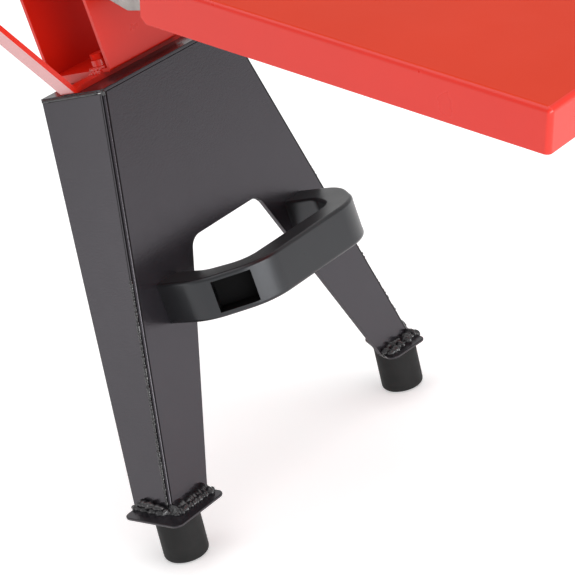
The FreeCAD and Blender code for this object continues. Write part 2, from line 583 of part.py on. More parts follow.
def make_pump_block():
    """The rear block: it closes the cylinder, holds the pump and carries the motor, valve and switch box."""
    upper = box(("2 * end_plate_half", "pump_depth", "pump_top - pump_waist"),
                ("-end_plate_half", "barrel_rear", "pump_waist"))
    lower = box(("2 * pump_low_half", "pump_depth", "pump_waist - pump_low"),
                ("-pump_low_half", "barrel_rear", "pump_low"))
    ties = [cylinder("tie_hole", "tie_in_block + 1", (x, "barrel_rear", z), "y") for x, z in TIES]
    shaft_end = cylinder("bearing_radius", "pump_shaft_hole", ("0", "barrel_rear", "motor_z"), "y")
    bleed = cylinder("bleed_stem + fit", "bleed_hole", ("-bleed_x", "bleed_y", "pump_top - bleed_hole"))
    ports = [
        cylinder("port_hole", "port_depth", ("pipe_x", "pipe_rear", "pump_top - port_depth")),
        cylinder("port_hole", "port_depth", ("suction_x", "barrel_rear", "suction_z"), "y"),
    ]
    node("pump_block", cut(join(upper, lower), bleed, shaft_end, *ties, *ports))
    screw = join(cylinder("bleed_stem", "bleed_in + 2 * bleed_lift",
                          ("-bleed_x", "bleed_y", "pump_top - bleed_in")),
                 cylinder("bleed_head", "bleed_head", ("-bleed_x", "bleed_y", "pump_top + bleed_lift")))
    node("bleed_screw", screw)


def make_motor():
    """Finned housing, stator, end shields, bearings, and the rotor and fan under a slotted cover."""
    length = "motor_rear - motor_front"
    start = ("0", "motor_front", "motor_z")
    fin_count = 28
    core = cylinder("motor_core", length, start, "y")
    fins = []
    for index in range(fin_count):
        home = frame(start, FreeCAD.Rotation(Y_AXIS, 360 * index / fin_count), GROUND)
        fins.append(box(("fin_width", length, "motor_fins - motor_core + 4"),
                        ("-fin_width / 2", "0", "motor_core - 4"), home))
    hollow = cylinder("motor_core - motor_wall", length, start, "y")
    node("motor_housing", cut(join(core, *fins), hollow))
    middle = f"motor_front + ({length} - stator_length) / 2"
    node("stator", tube("motor_core - motor_wall", "stator_bore", "stator_length",
                        ("0", middle, "motor_z"), "y"))
    core = cylinder("rotor_radius", "stator_length", ("0", middle, "motor_z"), "y")
    shaft = cylinder("shaft_radius", "barrel_rear + shaft_in_pump - fan_y + shaft_front",
                     ("0", "fan_y - shaft_front", "motor_z"), "y")
    node("rotor", join(core, shaft))
    shields, bearings = [], []
    for y, width, reach in (("motor_front - shield", "shield", "motor_core"),
                            ("motor_rear", "barrel_rear - motor_rear", "motor_fins")):
        plate = cylinder(reach, width, ("0", y, "motor_z"), "y")
        seat = cylinder("bearing_radius", width, ("0", y, "motor_z"), "y")
        shields.append(cut(plate, seat))
        bearings.append(tube("bearing_radius", "shaft_radius + fit", width, ("0", y, "motor_z"), "y"))
    node("motor_shields", join(*shields))
    node("motor_bearings", join(*bearings))
    cover_length = "motor_front - shield - fan_cover_front + cover_overlap"
    cover = cut(cylinder("fan_cover_radius", cover_length, ("0", "fan_cover_front", "motor_z"), "y"),
                cylinder("fan_cover_radius - cover_sheet", cover_length,
                         ("0", "fan_cover_front + cover_sheet", "motor_z"), "y"))
    slots = []
    slot_count = 9
    for index in range(-(slot_count // 2), slot_count // 2 + 1):
        reach = f"sqrt(slot_reach ^ 2 - ({index} * slot_pitch) ^ 2)"
        slots.append(box((f"2 * {reach}", "4 * cover_sheet", "slot_height"),
                         (f"-{reach}", "fan_cover_front - cover_sheet",
                          f"motor_z + {index} * slot_pitch - slot_height / 2")))
    node("motor_fan_cover", cut(cover, *slots))
    hub = cylinder("shaft_radius + 8", "fan_width", ("0", "fan_y", "motor_z"), "y")
    blades = []
    blade_count = 8
    for index in range(blade_count):
        home = frame(("0", "fan_y", "motor_z"), FreeCAD.Rotation(Y_AXIS, 360 * index / blade_count), GROUND)
        blades.append(box(("fan_blade", "fan_width", "fan_radius - shaft_radius - 4"),
                          ("-fan_blade / 2", "0", "shaft_radius + 4"), home))
    node("cooling_fan", cut(join(hub, *blades),
                            cylinder("shaft_radius", "fan_width", ("0", "fan_y", "motor_z"), "y")))


def make_switch_box():
    """A switch box on the pump block's left side with start and stop buttons and a shrouded power inlet."""
    left = "-(switch_x + switch_width)"
    outline = [(left, "switch_y"), ("-switch_x", "switch_y"), ("-switch_x", "switch_y + switch_length"),
               (left, "switch_y + switch_length")]
    case = prism("XY", outline, "switch_height", ("0", "0", "switch_z"))
    rounded(case, "switch_round", standing("z", outline[0], outline[3]))
    middle = "switch_y + switch_length / 2"
    holes = []
    for name, height in (("start", "switch_z + start_height"), ("stop", "switch_z + stop_height")):
        holes.append(cylinder("button_radius + button_gap", "button_hole_depth", (left, middle, height), "x"))
        node(f"{name}_button", rounded_button((f"{left} - button_stands", middle, height)))
    node("switch_box", cut(case, *holes))
    inlet_at = (f"{left} + switch_width / 2 + 1", middle, "switch_z")
    inlet_space = (inlet_at[0], inlet_at[1], "switch_z - 4")
    shroud = cut(cylinder("inlet_radius", "inlet_depth", inlet_at, "-z"),
                 cylinder("inlet_radius - inlet_wall", "inlet_depth", inlet_space, "-z"))
    pins = [cylinder("inlet_pin", "inlet_pin_length",
                     (f"{inlet_at[0]} + {x}", f"{inlet_at[1]} + {y}", "switch_z - 3"), "-z")
            for x, y in INLET_PINS]
    node("power_inlet", join(shroud, *pins))


def rounded_button(start):
    """A push button with a soft front edge; its stem goes into the switch box along +X."""
    section = [("0", "0"), ("button_radius - button_round", "0"), ("button_radius", "button_round"),
               ("button_radius", "button_length"), ("0", "button_length")]
    return revolved(section, start, "x")


def make_valve():
    """Directional valve on the right: body, sliding spool, and the spring-returned lever that pushes it."""
    centre = "valve_x + valve_width / 2"
    body = box(("valve_width", "valve_length", "valve_height"), ("valve_x", "valve_y", "valve_z"))
    middle = "valve_z + valve_height / 2"
    bore = cylinder("spool_radius + fit", "valve_length", (centre, "valve_y", middle), "y")
    spool_at = (centre, "spool_front", middle)
    node("valve_spool", cylinder("spool_radius", "valve_y + valve_length - spool_front - 10", spool_at, "y"))
    ears = []
    inside = "(lever_width / 2 + ear_gap)"
    low = "lever_pivot_z - ear_below"
    for x in (f"{centre} - {inside} - ear", f"{centre} + {inside}"):
        ears.append(box(("ear", "valve_y - lever_y + ear_reach", "ear_height"),
                        (x, "lever_y - ear_reach", low)))
    back = box(("lever_width + 2 * ear_gap", "ear", "ear_height"),
               (f"{centre} - {inside}", "valve_y - ear", low))
    pin_at = (f"{centre} - lever_width / 2 - 8", "lever_y", "lever_pivot_z")
    pin_length = "lever_width + 16"
    spool_way = cylinder("spool_radius + 1", "12", (centre, "valve_y - 6", spool_at[2]), "y")
    pin_hole = cylinder("lever_pin", pin_length, pin_at, "x")
    node("valve_body", cut(join(body, *ears, back), bore, pin_hole, spool_way))
    node("lever_pin", cylinder("lever_pin", pin_length, pin_at, "x"))
    lever = box(("lever_width", "lever_bar", "lever_top - lever_low"),
                (f"{centre} - lever_width / 2", "lever_y - lever_bar / 2", "lever_low"))
    boss = cylinder("lever_boss", "lever_width",
                    (f"{centre} - lever_width / 2", "lever_y", "lever_pivot_z"), "x")
    bore_tool = cylinder("lever_pin + fit", pin_length, pin_at, "x")
    node("control_lever", cut(join(lever, boss), bore_tool))
    node("lever_knob", revolved(KNOB, (centre, "lever_y", "lever_top")))


def pipe_run(points):
    """A pipe along straight runs joined by tangent bends."""
    corners = [vector(point) - FreeCAD.Vector(0, shift, 0) for point in points]
    bend = number("pipe_bend")
    edges = []
    start = corners[0]
    for before, corner, after in zip(corners, corners[1:], corners[2:]):
        incoming = (corner - before).normalize()
        outgoing = (after - corner).normalize()
        first = corner - incoming * bend
        last = corner + outgoing * bend
        centre = first + outgoing * bend
        middle = centre + ((corner - centre).normalize() * bend)
        edges += [Part.LineSegment(start, first).toShape(), Part.Arc(first, middle, last).toShape()]
        start = last
    edges.append(Part.LineSegment(start, corners[-1]).toShape())
    path = Part.Wire(edges)
    first_run = (corners[1] - corners[0]).normalize()
    ring = Part.Wire([Part.makeCircle(number("pipe_radius"), corners[0], first_run)])
    feature = document.addObject("Part::Feature", "pipe")
    feature.Shape = path.makePipeShell([ring], True, False)
    return feature


def make_hydraulics():
    """The return pipe over the barrel, the oil tank under the beam and the suction pipe to the pump."""
    head_top = "axis_z + head_half"
    points = [("pipe_x", "pipe_front", f"{head_top} - 10"), ("pipe_x", "pipe_front", "pipe_top"),
              ("pipe_x", "pipe_rear", "pipe_top"), ("pipe_x", "pipe_rear", "pump_top - 10")]
    unions = []
    for y, z in (("pipe_front", head_top), ("pipe_rear", "pump_top")):
        seat = ("pipe_x", y, z)
        unions.append(cut(hexagon("union_radius", "union_length", seat),
                          cylinder("port_hole", "union_length", seat)))
    tank_rear = "tank_y + tank_length"
    for y in (tank_rear, "barrel_rear - union_length"):
        seat = ("suction_x", y, "suction_z")
        unions.append(cut(hexagon("union_radius", "union_length", seat, "y"),
                          cylinder("port_hole", "union_length", seat, "y")))
    node("pipe_unions", join(*unions))
    suction = cylinder("pipe_radius", f"barrel_rear + 8 - ({tank_rear}) + 2",
                       ("suction_x", f"{tank_rear} - 2", "suction_z"), "y")
    node("hydraulic_pipes", join(pipe_run(points), suction))
    low = "beam_low - tank_height"
    outline = [("-tank_half", low), ("tank_half", low), ("tank_half", "beam_low"), ("-tank_half", "beam_low")]
    shell = prism("XZ", outline, "tank_length", ("0", tank_rear, "0"))
    rounded(shell, "tank_round", standing("y", outline[0], outline[1]))
    inset = "tank_sheet"
    space = box((f"2 * tank_half - 2 * {inset}", f"tank_length - 2 * {inset}", f"tank_height - 2 * {inset}"),
                (f"{inset} - tank_half", f"tank_y + {inset}", f"{low} + {inset}"))
    neck = cylinder("filler_stem + 0.5", "20", ("-tank_half - 1", "filler_y", "filler_z"), "x")
    outlet = cylinder("port_hole", "8", ("suction_x", f"{tank_rear} - 4", "suction_z"), "y")
    node("oil_tank", cut(shell, space, neck, outlet))
    plug = join(*[
        cylinder(radius, length, (f"-tank_half + {start}", "filler_y", "filler_z"), axis)
        for radius, length, start, axis in (
            ("filler_stem", "15", "-1", "x"),
            ("filler_radius", "filler_height", "-0.5", "-x"),
            ("dipstick_radius", "dipstick_length", "8", "x"),
        )
    ])
    node("filler_cap", plug)


def make_rear_stand():
    """Two plates hang from a top plate under the beam and carry the axle, with a brace between them."""
    outline = [("axle_y - stand_top_half", "beam_low"), ("axle_y - stand_low_half", "stand_low"),
               ("axle_y + stand_low_half", "stand_low"), ("axle_y + stand_top_half", "beam_low")]
    plates = []
    for x in ("-stand_half - stand_plate", "stand_half"):
        plate = prism("YZ", outline, "stand_plate", (x, "0", "0"))
        rounded(plate, "stand_round", standing("x", outline[1], outline[2]))
        hole = cylinder("axle_radius", "4 * stand_plate", (f"{x} - stand_plate", "axle_y", "axle_z"), "x")
        plates.append(cut(plate, hole))
    top = box(("2 * stand_half", "2 * stand_top_half", "stand_plate"),
              ("-stand_half", "axle_y - stand_top_half", "beam_low - stand_plate"))
    brace = tube("brace_radius", "brace_radius - brace_wall", "2 * stand_half",
                 ("-stand_half", "axle_y", "brace_z"), "x")
    holes = drills(STAND_BOLTS, GROUND, "-z", "sheet_bolt_hole", STAND_DRILL)
    node("rear_stand", cut(join(top, brace, *plates), *holes))


def make_wheels():
    """Axle with spacer sleeves, washers and split pins, and two wheels of a spoked rim and a solid tyre."""
    axle = cylinder("axle_radius", "2 * axle_half", ("-axle_half", "axle_y", "axle_z"), "x")
    pins, washers, sleeves = [], [], []
    hub_in = "wheel_x - wheel_width / 2"
    hub_out = "wheel_x + wheel_width / 2"
    for sign, axis in ((-1, "-x"), (1, "x")):
        pin_at = (f"{sign} * (axle_half - split_pin_end)", "axle_y", "axle_z - split_pin_length / 2")
        pins.append(cylinder("split_pin", "split_pin_length", pin_at))
        sleeve_at = (f"{sign} * (stand_half + stand_plate)", "axle_y", "axle_z")
        sleeve_length = f"{hub_in} - washer_gap - stand_half - stand_plate"
        sleeves.append(tube("axle_radius + spacer_wall", "axle_radius", sleeve_length, sleeve_at, axis))
        washer_at = (f"{sign} * ({hub_out} + washer_gap)", "axle_y", "axle_z")
        washers.append(tube("washer_radius", "axle_radius", "washer", washer_at, axis))
    node("axle", cut(axle, *pins))
    node("axle_spacers", join(*sleeves, *washers, *pins))
    half_rim, half_hub = "rim_width / 2", "wheel_width / 2"
    bore, well = "axle_radius + fit", "rim_radius - rim_wall"
    rim = [(bore, f"-{half_hub}"), ("hub_radius", f"-{half_hub}"), ("hub_radius", "-web_half"),
           (well, "-web_half"), (well, f"-{half_rim}"), ("rim_radius", f"-{half_rim}"),
           ("rim_radius", half_rim), (well, half_rim), (well, "web_half"),
           ("hub_radius", "web_half"), ("hub_radius", half_hub), (bore, half_hub)]
    tyre = [("rim_radius", f"-{half_rim}"), ("rim_radius + 6", f"-{half_hub}"),
            ("axle_z - 9", f"-{half_hub}"),
            ("axle_z - 2", "-wheel_width / 2 + 8"), ("axle_z", "-8"), ("axle_z", "8"),
            ("axle_z - 2", "wheel_width / 2 - 8"), ("axle_z - 9", half_hub), ("rim_radius + 6", half_hub),
            ("rim_radius", half_rim)]
    windows = 5
    for name, sign, axis in (("left", -1, "-x"), ("right", 1, "x")):
        centre = (f"{sign} * wheel_x", "axle_y", "axle_z")
        tools = []
        for index in range(windows):
            home = frame(centre, FreeCAD.Rotation(X_AXIS, 360 * index / windows), GROUND)
            middle = ("-rim_width / 2", "0", "(hub_radius + rim_radius - rim_wall) / 2")
            tools.append(cylinder("window_radius", "rim_width", middle, "x", home))
        node(f"rim_{name}", cut(revolved(rim, centre, axis), *tools))
        node(f"tyre_{name}", revolved(tyre, centre, axis))


def make_tray():
    """The outfeed tray: a folded sheet with skirts on three sides, on two bars beside the beam."""
    def shell(half, length, drop, rear, bend, start_z):
        corner = "tray_corner"
        section = [(f"-({length})", "0"), (rear, "0"), (rear, f"{corner} - ({drop})"),
                   (f"{rear} - 1.2 * {corner}", f"-({drop})"), (f"-({length})", f"-({drop})")]
        solid = prism("YZ", section, f"2 * ({half})", (f"-({half})", "0", start_z), TRAY)
        wide = number(f"2 * ({half})")
        front = -number(length)

        def wanted(edge):
            points = ends(edge)
            on_top = all(abs(p.z) < NEAR for p in points)
            at_side = all(abs(p.x) < NEAR for p in points) or all(abs(p.x - wide) < NEAR for p in points)
            at_front = all(abs(p.y - front) < NEAR for p in points)
            return (on_top and (at_side or at_front)) or (at_side and at_front)

        return rounded(solid, bend, wanted)

    outer = shell("tray_half", "tray_length", "tray_skirt", "0", "tray_bend", "0")
    inner = shell("tray_half - tray_sheet", "tray_length - tray_sheet", "tray_skirt + 60", "40",
                  "tray_bend - tray_sheet", "-tray_sheet")
    node("outfeed_tray", cut(outer, inner))
    brackets = [box(("bracket_bar", "bracket_length", "bracket_width"),
                    (x, "bracket_front", "-tray_sheet - bracket_width"), TRAY)
                for x in ("-beam_half - bracket_bar", "beam_half")]
    node("tray_brackets", join(*brackets))


SCREW_HEIGHT = "handle_height / 2 - handle_low"
HANDLE_SCREWS = [(f"{sign} * handle_screw_x", "screw_seat_y", SCREW_HEIGHT) for sign in (-1, 1)]
PEDESTAL_BOLTS = [
    (x, y, "cap_plate + strap_bar + pedestal_sheet + pedestal_boss")
    for x, y in (("-pedestal_bolt_x", "strap_y + strap_width / 2"),
                 ("pedestal_bolt_x", "strap_y + strap_width / 2"),
                 ("0", "pedestal_bolt_y"))
]
RIGHT_FOOT_PLATE = [("-52", "-35"), ("11", "-40"), ("38", "34"), ("-8", "38")]
WEDGE_BOLTS = [(x, y, "beam_low + beam_height + wedge_base")
               for x in ("-wedge_bolt_x", "wedge_bolt_x")
               for y in ("wedge_bolt_front", "wedge_bolt_rear")]
HEAD_BOLTS = [(x, "head_front + head_depth / 2", "beam_low + beam_height - beam_flange")
              for x in ("-head_bolt_x", "head_bolt_x")]
STAND_BOLTS = [(x, y, "beam_low - stand_plate")
               for x in ("-stand_bolt_x", "stand_bolt_x")
               for y in ("axle_y - stand_bolt_y", "axle_y + stand_bolt_y")]
STAND_DRILL = 40
INLET_PINS = ((0, 8), (7, -5), (-7, -5))
KNOB = [("0", "0"), ("9", "0"), ("10", "6"), ("15", "12"), ("17", "20"), ("15", "28"), ("9", "33"),
        ("0", "35")]
TIES = [(f"{a} * tie_offset", f"axis_z + {b} * tie_offset") for a in (-1, 1) for b in (-1, 1)]

make_leg()
make_feet()
make_handle()
make_straps_and_rails()
make_pedestal()
make_beam()
make_wedge()
make_ram()
make_cylinder()
make_pump_block()
make_motor()
make_switch_box()
make_valve()
make_hydraulics()
make_rear_stand()
make_wheels()
make_tray()
document.recompute()

for item in document.Objects:
    if "Invalid" in item.State or "Error" in item.State:
        raise RuntimeError(f"{item.Label} did not build: {item.State}")
for part in parts:
    if part.Shape.isNull() or not part.Shape.isValid():
        raise RuntimeError(f"{part.Label} has no valid shape")

os.makedirs("parts", exist_ok=True)
for part in parts:
    part.Shape.exportStep(f"parts/{part.Label}.step")
print(len(parts), "sub-parts, origin", round(shift, 2), "mm behind the front feet")
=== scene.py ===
"""Looks for the horizontal log splitter: paint, castings, rubber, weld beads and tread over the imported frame.

Lengths are in metres in the row frame: Z up from the ground, +Y along the beam towards the pump end.
"""
import json
import math

import bmesh
import bpy
from mathutils import Matrix, Vector, noise

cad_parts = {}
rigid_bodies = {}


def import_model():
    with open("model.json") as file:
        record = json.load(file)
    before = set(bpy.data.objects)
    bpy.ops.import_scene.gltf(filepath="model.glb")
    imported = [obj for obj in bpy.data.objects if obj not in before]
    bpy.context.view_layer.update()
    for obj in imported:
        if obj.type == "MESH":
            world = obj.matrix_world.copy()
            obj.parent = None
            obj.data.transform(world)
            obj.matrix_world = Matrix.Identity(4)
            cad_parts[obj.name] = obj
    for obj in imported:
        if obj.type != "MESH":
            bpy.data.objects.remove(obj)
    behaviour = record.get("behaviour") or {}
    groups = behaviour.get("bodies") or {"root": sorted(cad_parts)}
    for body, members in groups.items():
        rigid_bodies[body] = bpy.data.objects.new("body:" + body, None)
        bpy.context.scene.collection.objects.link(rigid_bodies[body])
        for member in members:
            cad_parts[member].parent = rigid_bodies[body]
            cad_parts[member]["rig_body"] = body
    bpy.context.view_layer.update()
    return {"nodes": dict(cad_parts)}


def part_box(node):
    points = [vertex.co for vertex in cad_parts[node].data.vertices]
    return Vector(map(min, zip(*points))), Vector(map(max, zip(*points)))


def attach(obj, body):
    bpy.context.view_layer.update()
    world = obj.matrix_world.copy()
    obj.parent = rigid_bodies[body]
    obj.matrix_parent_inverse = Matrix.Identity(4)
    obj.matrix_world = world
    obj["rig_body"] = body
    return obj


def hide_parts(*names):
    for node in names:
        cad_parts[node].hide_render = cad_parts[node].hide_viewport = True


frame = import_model()
NODES = frame["nodes"]

# how far behind the line of the front feet the row's origin lies
SHIFT = 0.341298

# the front leg, which leans back, its feet, and what stands on it
LEAN = math.radians(7.76)
LEG_TOP_Y, LEG_TOP_Z = 0.0515 - SHIFT, 0.491
LEG_TOP_HALF, LEG_FLARE = 0.106, 0.2696
ARCH_HALF, ARCH_FLARE, ARCH_TOP = 0.0576, 0.4245, 0.1857
FOOT_TOP = 0.061
STRAP_FRONT, STRAP_REAR = 0.043, 0.062
PEDESTAL_HALF, PEDESTAL_FRONT, PEDESTAL_REAR = 0.058, 0.030, 0.128
PEDESTAL_MIDDLE = (PEDESTAL_FRONT + PEDESTAL_REAR) / 2
PEDESTAL_BOLT_X, PEDESTAL_BOLT_BACK = 0.047, 0.0525

# the carry handle on the leg
HANDLE_HALF, GRIP_HALF = 0.130, 0.084
SHOULDER_REACH, GRIP_REACH = 0.058, 0.115
HANDLE_MIDDLE_DOWN = 0.2325

# the beam and what is welded to it, with the Y places counted from the line of the front feet
BEAM_LOW, BEAM_TOP, BEAM_HALF = 0.600, 0.660, 0.050
REAR_STRAP_YS = (0.560, 0.581)
SADDLE_YS = {"front": 0.8995, "rear": 0.9405}
END_PLATE_Y = 1.1215
WEDGE_HALF, WEDGE_FRONT, WEDGE_TAPER, WEDGE_EDGE, WEDGE_FOOT = 0.0305, 0.002, 0.025, 0.108, 0.6725
RAIL_X, RAIL_WELD_Z = 0.2285, 0.6690

# the rear stand, with its Y place counted from the same line
STAND_Y, STAND_HALF_DEPTH, STAND_INSIDE, STAND_CEILING = 1.000, 0.070, 0.0915, 0.5935
BRACE_Z, BRACE_RADIUS = 0.300, 0.0125

# the camera and the studio round the machine
CAMERA_PLACE = (-1.686, -1.626 - SHIFT, 1.124)
CAMERA_RIGHT = (0.6039, -0.7661, -0.2202)
CAMERA_UP = (0.4178, 0.0690, 0.9059)
CAMERA_AHEAD = (0.6788, 0.6391, -0.3618)
CAMERA_LENS, CAMERA_SENSOR = 142.67, 36
WORLD_STRENGTH = 0.66
FLOOR_REACH, FLOOR_GLOW = 14, 0.34

# how the CAD meshes are cleaned, rounded and shaded
SAME_POINT = 2e-6
FLAT_ANGLE, BEVEL_ANGLE = math.radians(0.4), math.radians(35)
BEVEL_SEGMENTS = 2
SHARP_ANGLE, TREAD_SHARP_ANGLE = math.radians(40), math.radians(38)


# ---------------------------------------------------------------- camera, world, floor and lights

def make_camera():
    """The camera looks down at the leg end from the left front, about 2.5 m away, with a long lens."""
    data = bpy.data.cameras.new("camera")
    data.sensor_width = CAMERA_SENSOR
    data.lens = CAMERA_LENS
    data.clip_start, data.clip_end = 0.05, 60
    camera = bpy.data.objects.new("camera", data)
    bpy.context.scene.collection.objects.link(camera)
    turn = Matrix((Vector(CAMERA_RIGHT), Vector(CAMERA_UP), -Vector(CAMERA_AHEAD))).transposed().to_4x4()
    camera.matrix_world = Matrix.Translation(CAMERA_PLACE) @ turn
    bpy.context.scene.camera = camera


def make_light(name, place, target, size, power):
    data = bpy.data.lights.new(name, "AREA")
    data.shape = "RECTANGLE"
    data.size, data.size_y = size
    data.energy = power
    lamp = bpy.data.objects.new(name, data)
    bpy.context.scene.collection.objects.link(lamp)
    lamp.location = place
    lamp.rotation_mode = "QUATERNION"
    lamp.rotation_quaternion = (Vector(target) - Vector(place)).to_track_quat("-Z", "Y")
    lamp.visible_camera = False


def make_studio():
    world = bpy.data.worlds.new("studio")
    world.use_nodes = True
    backdrop = world.node_tree.nodes["Background"].inputs
    backdrop["Color"].default_value = (1, 1, 1, 1)
    backdrop["Strength"].default_value = WORLD_STRENGTH
    bpy.context.scene.world = world
    make_light("key", place=(0.9, -4.2, 3.0), target=(0, -0.3, 0.3), size=(3.0, 2.4), power=22)
    make_light("top", place=(-0.3, -0.4, 4.2), target=(0, -0.1, 0), size=(4.5, 4.5), power=62)
    make_light("side", place=(-2.8, 1.9, 1.0), target=(-0.1, -0.3, 0.3), size=(1.6, 1.8), power=8)
    make_light("front", place=(-0.7, -3.3, 0.35), target=(0, -0.3, 0.5), size=(2.6, 1.0), power=58)
    bpy.context.scene.view_settings.view_transform = "Standard"


def make_floor():
    """A pale paper floor with a faint glow of its own, which keeps the shadows light."""
    mesh = bpy.data.meshes.new("floor")
    corners = [(x * FLOOR_REACH, y * FLOOR_REACH, 0) for x, y in ((-1, -1), (1, -1), (1, 1), (-1, 1))]
    mesh.from_pydata(corners, [], [(0, 1, 2, 3)])
    paper = surface("studio_floor", dark=(0.93, 0.93, 0.93), light=(0.95, 0.95, 0.95), patch=3,
                    rough=(0.85, 0.95), bumps=[])
    glow = paper.node_tree.nodes["Principled BSDF"].inputs
    glow["Emission Color"].default_value = (1, 1, 1, 1)
    glow["Emission Strength"].default_value = FLOOR_GLOW
    mesh.materials.append(paper)
    floor = link("floor", mesh)


# ---------------------------------------------------------------- materials

def noise_node(tree, scale, detail, stretch=(1, 1, 1)):
    """Solid noise in the part's own coordinates. scale is features per metre."""
    place = tree.nodes.new("ShaderNodeTexCoord")
    mapping = tree.nodes.new("ShaderNodeMapping")
    mapping.inputs["Scale"].default_value = stretch
    field = tree.nodes.new("ShaderNodeTexNoise")
    field.inputs["Scale"].default_value = scale
    field.inputs["Detail"].default_value = detail
    tree.links.new(place.outputs["Object"], mapping.inputs["Vector"])
    tree.links.new(mapping.outputs["Vector"], field.inputs["Vector"])
    return field


def ramp_node(tree, source, low, high, start, stop):
    ramp = tree.nodes.new("ShaderNodeValToRGB")
    ramp.color_ramp.elements[0].position = start
    ramp.color_ramp.elements[1].position = stop
    ramp.color_ramp.elements[0].color = (*low, 1)
    ramp.color_ramp.elements[1].color = (*high, 1)
    tree.links.new(source, ramp.inputs["Fac"])
    return ramp


# the part of the noise's range that the colours and the gloss spread over
NOISE_LOW, NOISE_HIGH = 0.20, 0.80
# how fine each noise is, and how much smaller the patches of gloss are than those of colour
COLOUR_DETAIL, GLOSS_DETAIL, SPECK_DETAIL = 5, 4, 2
GLOSS_PATCH = 2.3
SPECK_EDGE = 0.05


def speckled(tree, colour, scale, speck, threshold):
    """The colour with small specks of another colour over it."""
    dots = noise_node(tree, scale, SPECK_DETAIL)
    mask = ramp_node(tree, dots.outputs["Fac"], (0, 0, 0), (1, 1, 1), threshold, threshold + SPECK_EDGE)
    mix = tree.nodes.new("ShaderNodeMix")
    mix.data_type = "RGBA"
    mix.inputs["B"].default_value = (*speck, 1)
    tree.links.new(mask.outputs["Color"], mix.inputs["Factor"])
    tree.links.new(colour, mix.inputs["A"])
    return mix.outputs["Result"]


def surface(name, dark, light, patch, rough, bumps, metallic=0.0, coat=0.0, coat_rough=0.1, coat_ior=1.5,
            specular=0.5, tint=(1, 1, 1), stretch=(1, 1, 1), specks=None):
    """A material whose colour drifts between two tones over patches, with varying gloss and layered bumps.

    patch is patches per metre and rough the two ends of the roughness. bumps is a list of (scale per metre,
    height in metres, detail, strength). specks is (scale, colour, threshold).
    """
    material = bpy.data.materials.new(name)
    material.use_nodes = True
    tree = material.node_tree
    shader = tree.nodes["Principled BSDF"]
    shader.inputs["Metallic"].default_value = metallic
    shader.inputs["Coat Weight"].default_value = coat
    shader.inputs["Coat Roughness"].default_value = coat_rough
    shader.inputs["Coat IOR"].default_value = coat_ior
    shader.inputs["Specular IOR Level"].default_value = specular
    shader.inputs["Specular Tint"].default_value = (*tint, 1)
    drift = noise_node(tree, patch, COLOUR_DETAIL, stretch)
    tone = ramp_node(tree, drift.outputs["Fac"], dark, light, NOISE_LOW, NOISE_HIGH)
    colour = tone.outputs["Color"]
    if specks:
        colour = speckled(tree, colour, *specks)
    tree.links.new(colour, shader.inputs["Base Color"])
    sheen = noise_node(tree, patch * GLOSS_PATCH, GLOSS_DETAIL, stretch)
    gloss = tree.nodes.new("ShaderNodeMapRange")
    gloss.inputs["From Min"].default_value = NOISE_LOW
    gloss.inputs["From Max"].default_value = NOISE_HIGH
    gloss.inputs["To Min"].default_value, gloss.inputs["To Max"].default_value = rough
    tree.links.new(sheen.outputs["Fac"], gloss.inputs["Value"])
    tree.links.new(gloss.outputs["Result"], shader.inputs["Roughness"])
    previous = None
    for scale, height, detail, strength in bumps:
        field = noise_node(tree, scale, detail, stretch)
        bump = tree.nodes.new("ShaderNodeBump")
        bump.inputs["Strength"].default_value = strength
        bump.inputs["Distance"].default_value = height
        tree.links.new(field.outputs["Fac"], bump.inputs["Height"])
        if previous:
            tree.links.new(previous.outputs["Normal"], bump.inputs["Normal"])
        previous = bump
    if previous:
        tree.links.new(previous.outputs["Normal"], shader.inputs["Normal"])
        if coat:
            tree.links.new(previous.outputs["Normal"], shader.inputs["Coat Normal"])
    return material


# bumps of the finishes, as (scale per metre, height in metres, detail, strength)
ORANGE_PEEL = [(420, 0.0006, 2, 0.16), (1500, 0.0002, 2, 0.12)]
ENAMEL_PEEL = [(700, 0.0001, 2, 0.06), (1600, 0.00005, 2, 0.06)]
GRAIN = [(2600, 0.00012, 3, 0.35), (600, 0.0002, 2, 0.12)]
SAND = [(900, 0.0006, 6, 0.6), (220, 0.0012, 4, 0.4)]
BLAST = [(1500, 0.0003, 4, 0.5)]
BLACK_SLAG = [(700, 0.0006, 4, 0.4)]
RED_SLAG = [(600, 0.0006, 4, 0.35)]
SLEEVE_GRAIN = [(1200, 0.0003, 4, 0.35)]
TYRE_GRAIN = [(900, 0.0003, 4, 0.4)]
ZINC_GRAIN = [(1600, 0.0001, 3, 0.3)]
GROUND_FINISH = [(2400, 0.00002, 2, 0.1)]
BUTTON_GRAIN = [(1800, 0.00005, 2, 0.2)]


def black_looks():
    """Black paint: the sheet itself, its edges in a darker painted shade, two near black lines of painted dark
    reflection along the leg's rounded edges, and the welds.
    """
    return {
        "black_paint": dict(dark=(0.0090, 0.0080, 0.0100), light=(0.0120, 0.0105, 0.0130), patch=26,
                            rough=(0.21, 0.27), bumps=ORANGE_PEEL, specular=0.72, tint=(0.97, 0.91, 1.0)),
        # the bevelled edges' darker, less glossy tone is painted shade
        "black_edge_painted_shade": dict(dark=(0.0050, 0.0048, 0.0055), light=(0.0090, 0.0086, 0.0096), patch=90,
                           rough=(0.16, 0.26), bumps=ORANGE_PEEL, specular=0.35),
        # near black lines along the leg plate's rounded edges: painted dark reflection
        "black_painted_dark_reflection": dict(dark=(0.0030, 0.0029, 0.0034), light=(0.0055, 0.0052, 0.0060), patch=120,
                             rough=(0.30, 0.42), bumps=ORANGE_PEEL, specular=0.06),
        "black_weld": dict(dark=(0.006, 0.006, 0.007), light=(0.013, 0.012, 0.014), patch=160,
                           rough=(0.12, 0.26), bumps=BLACK_SLAG, specular=0.8),
    }


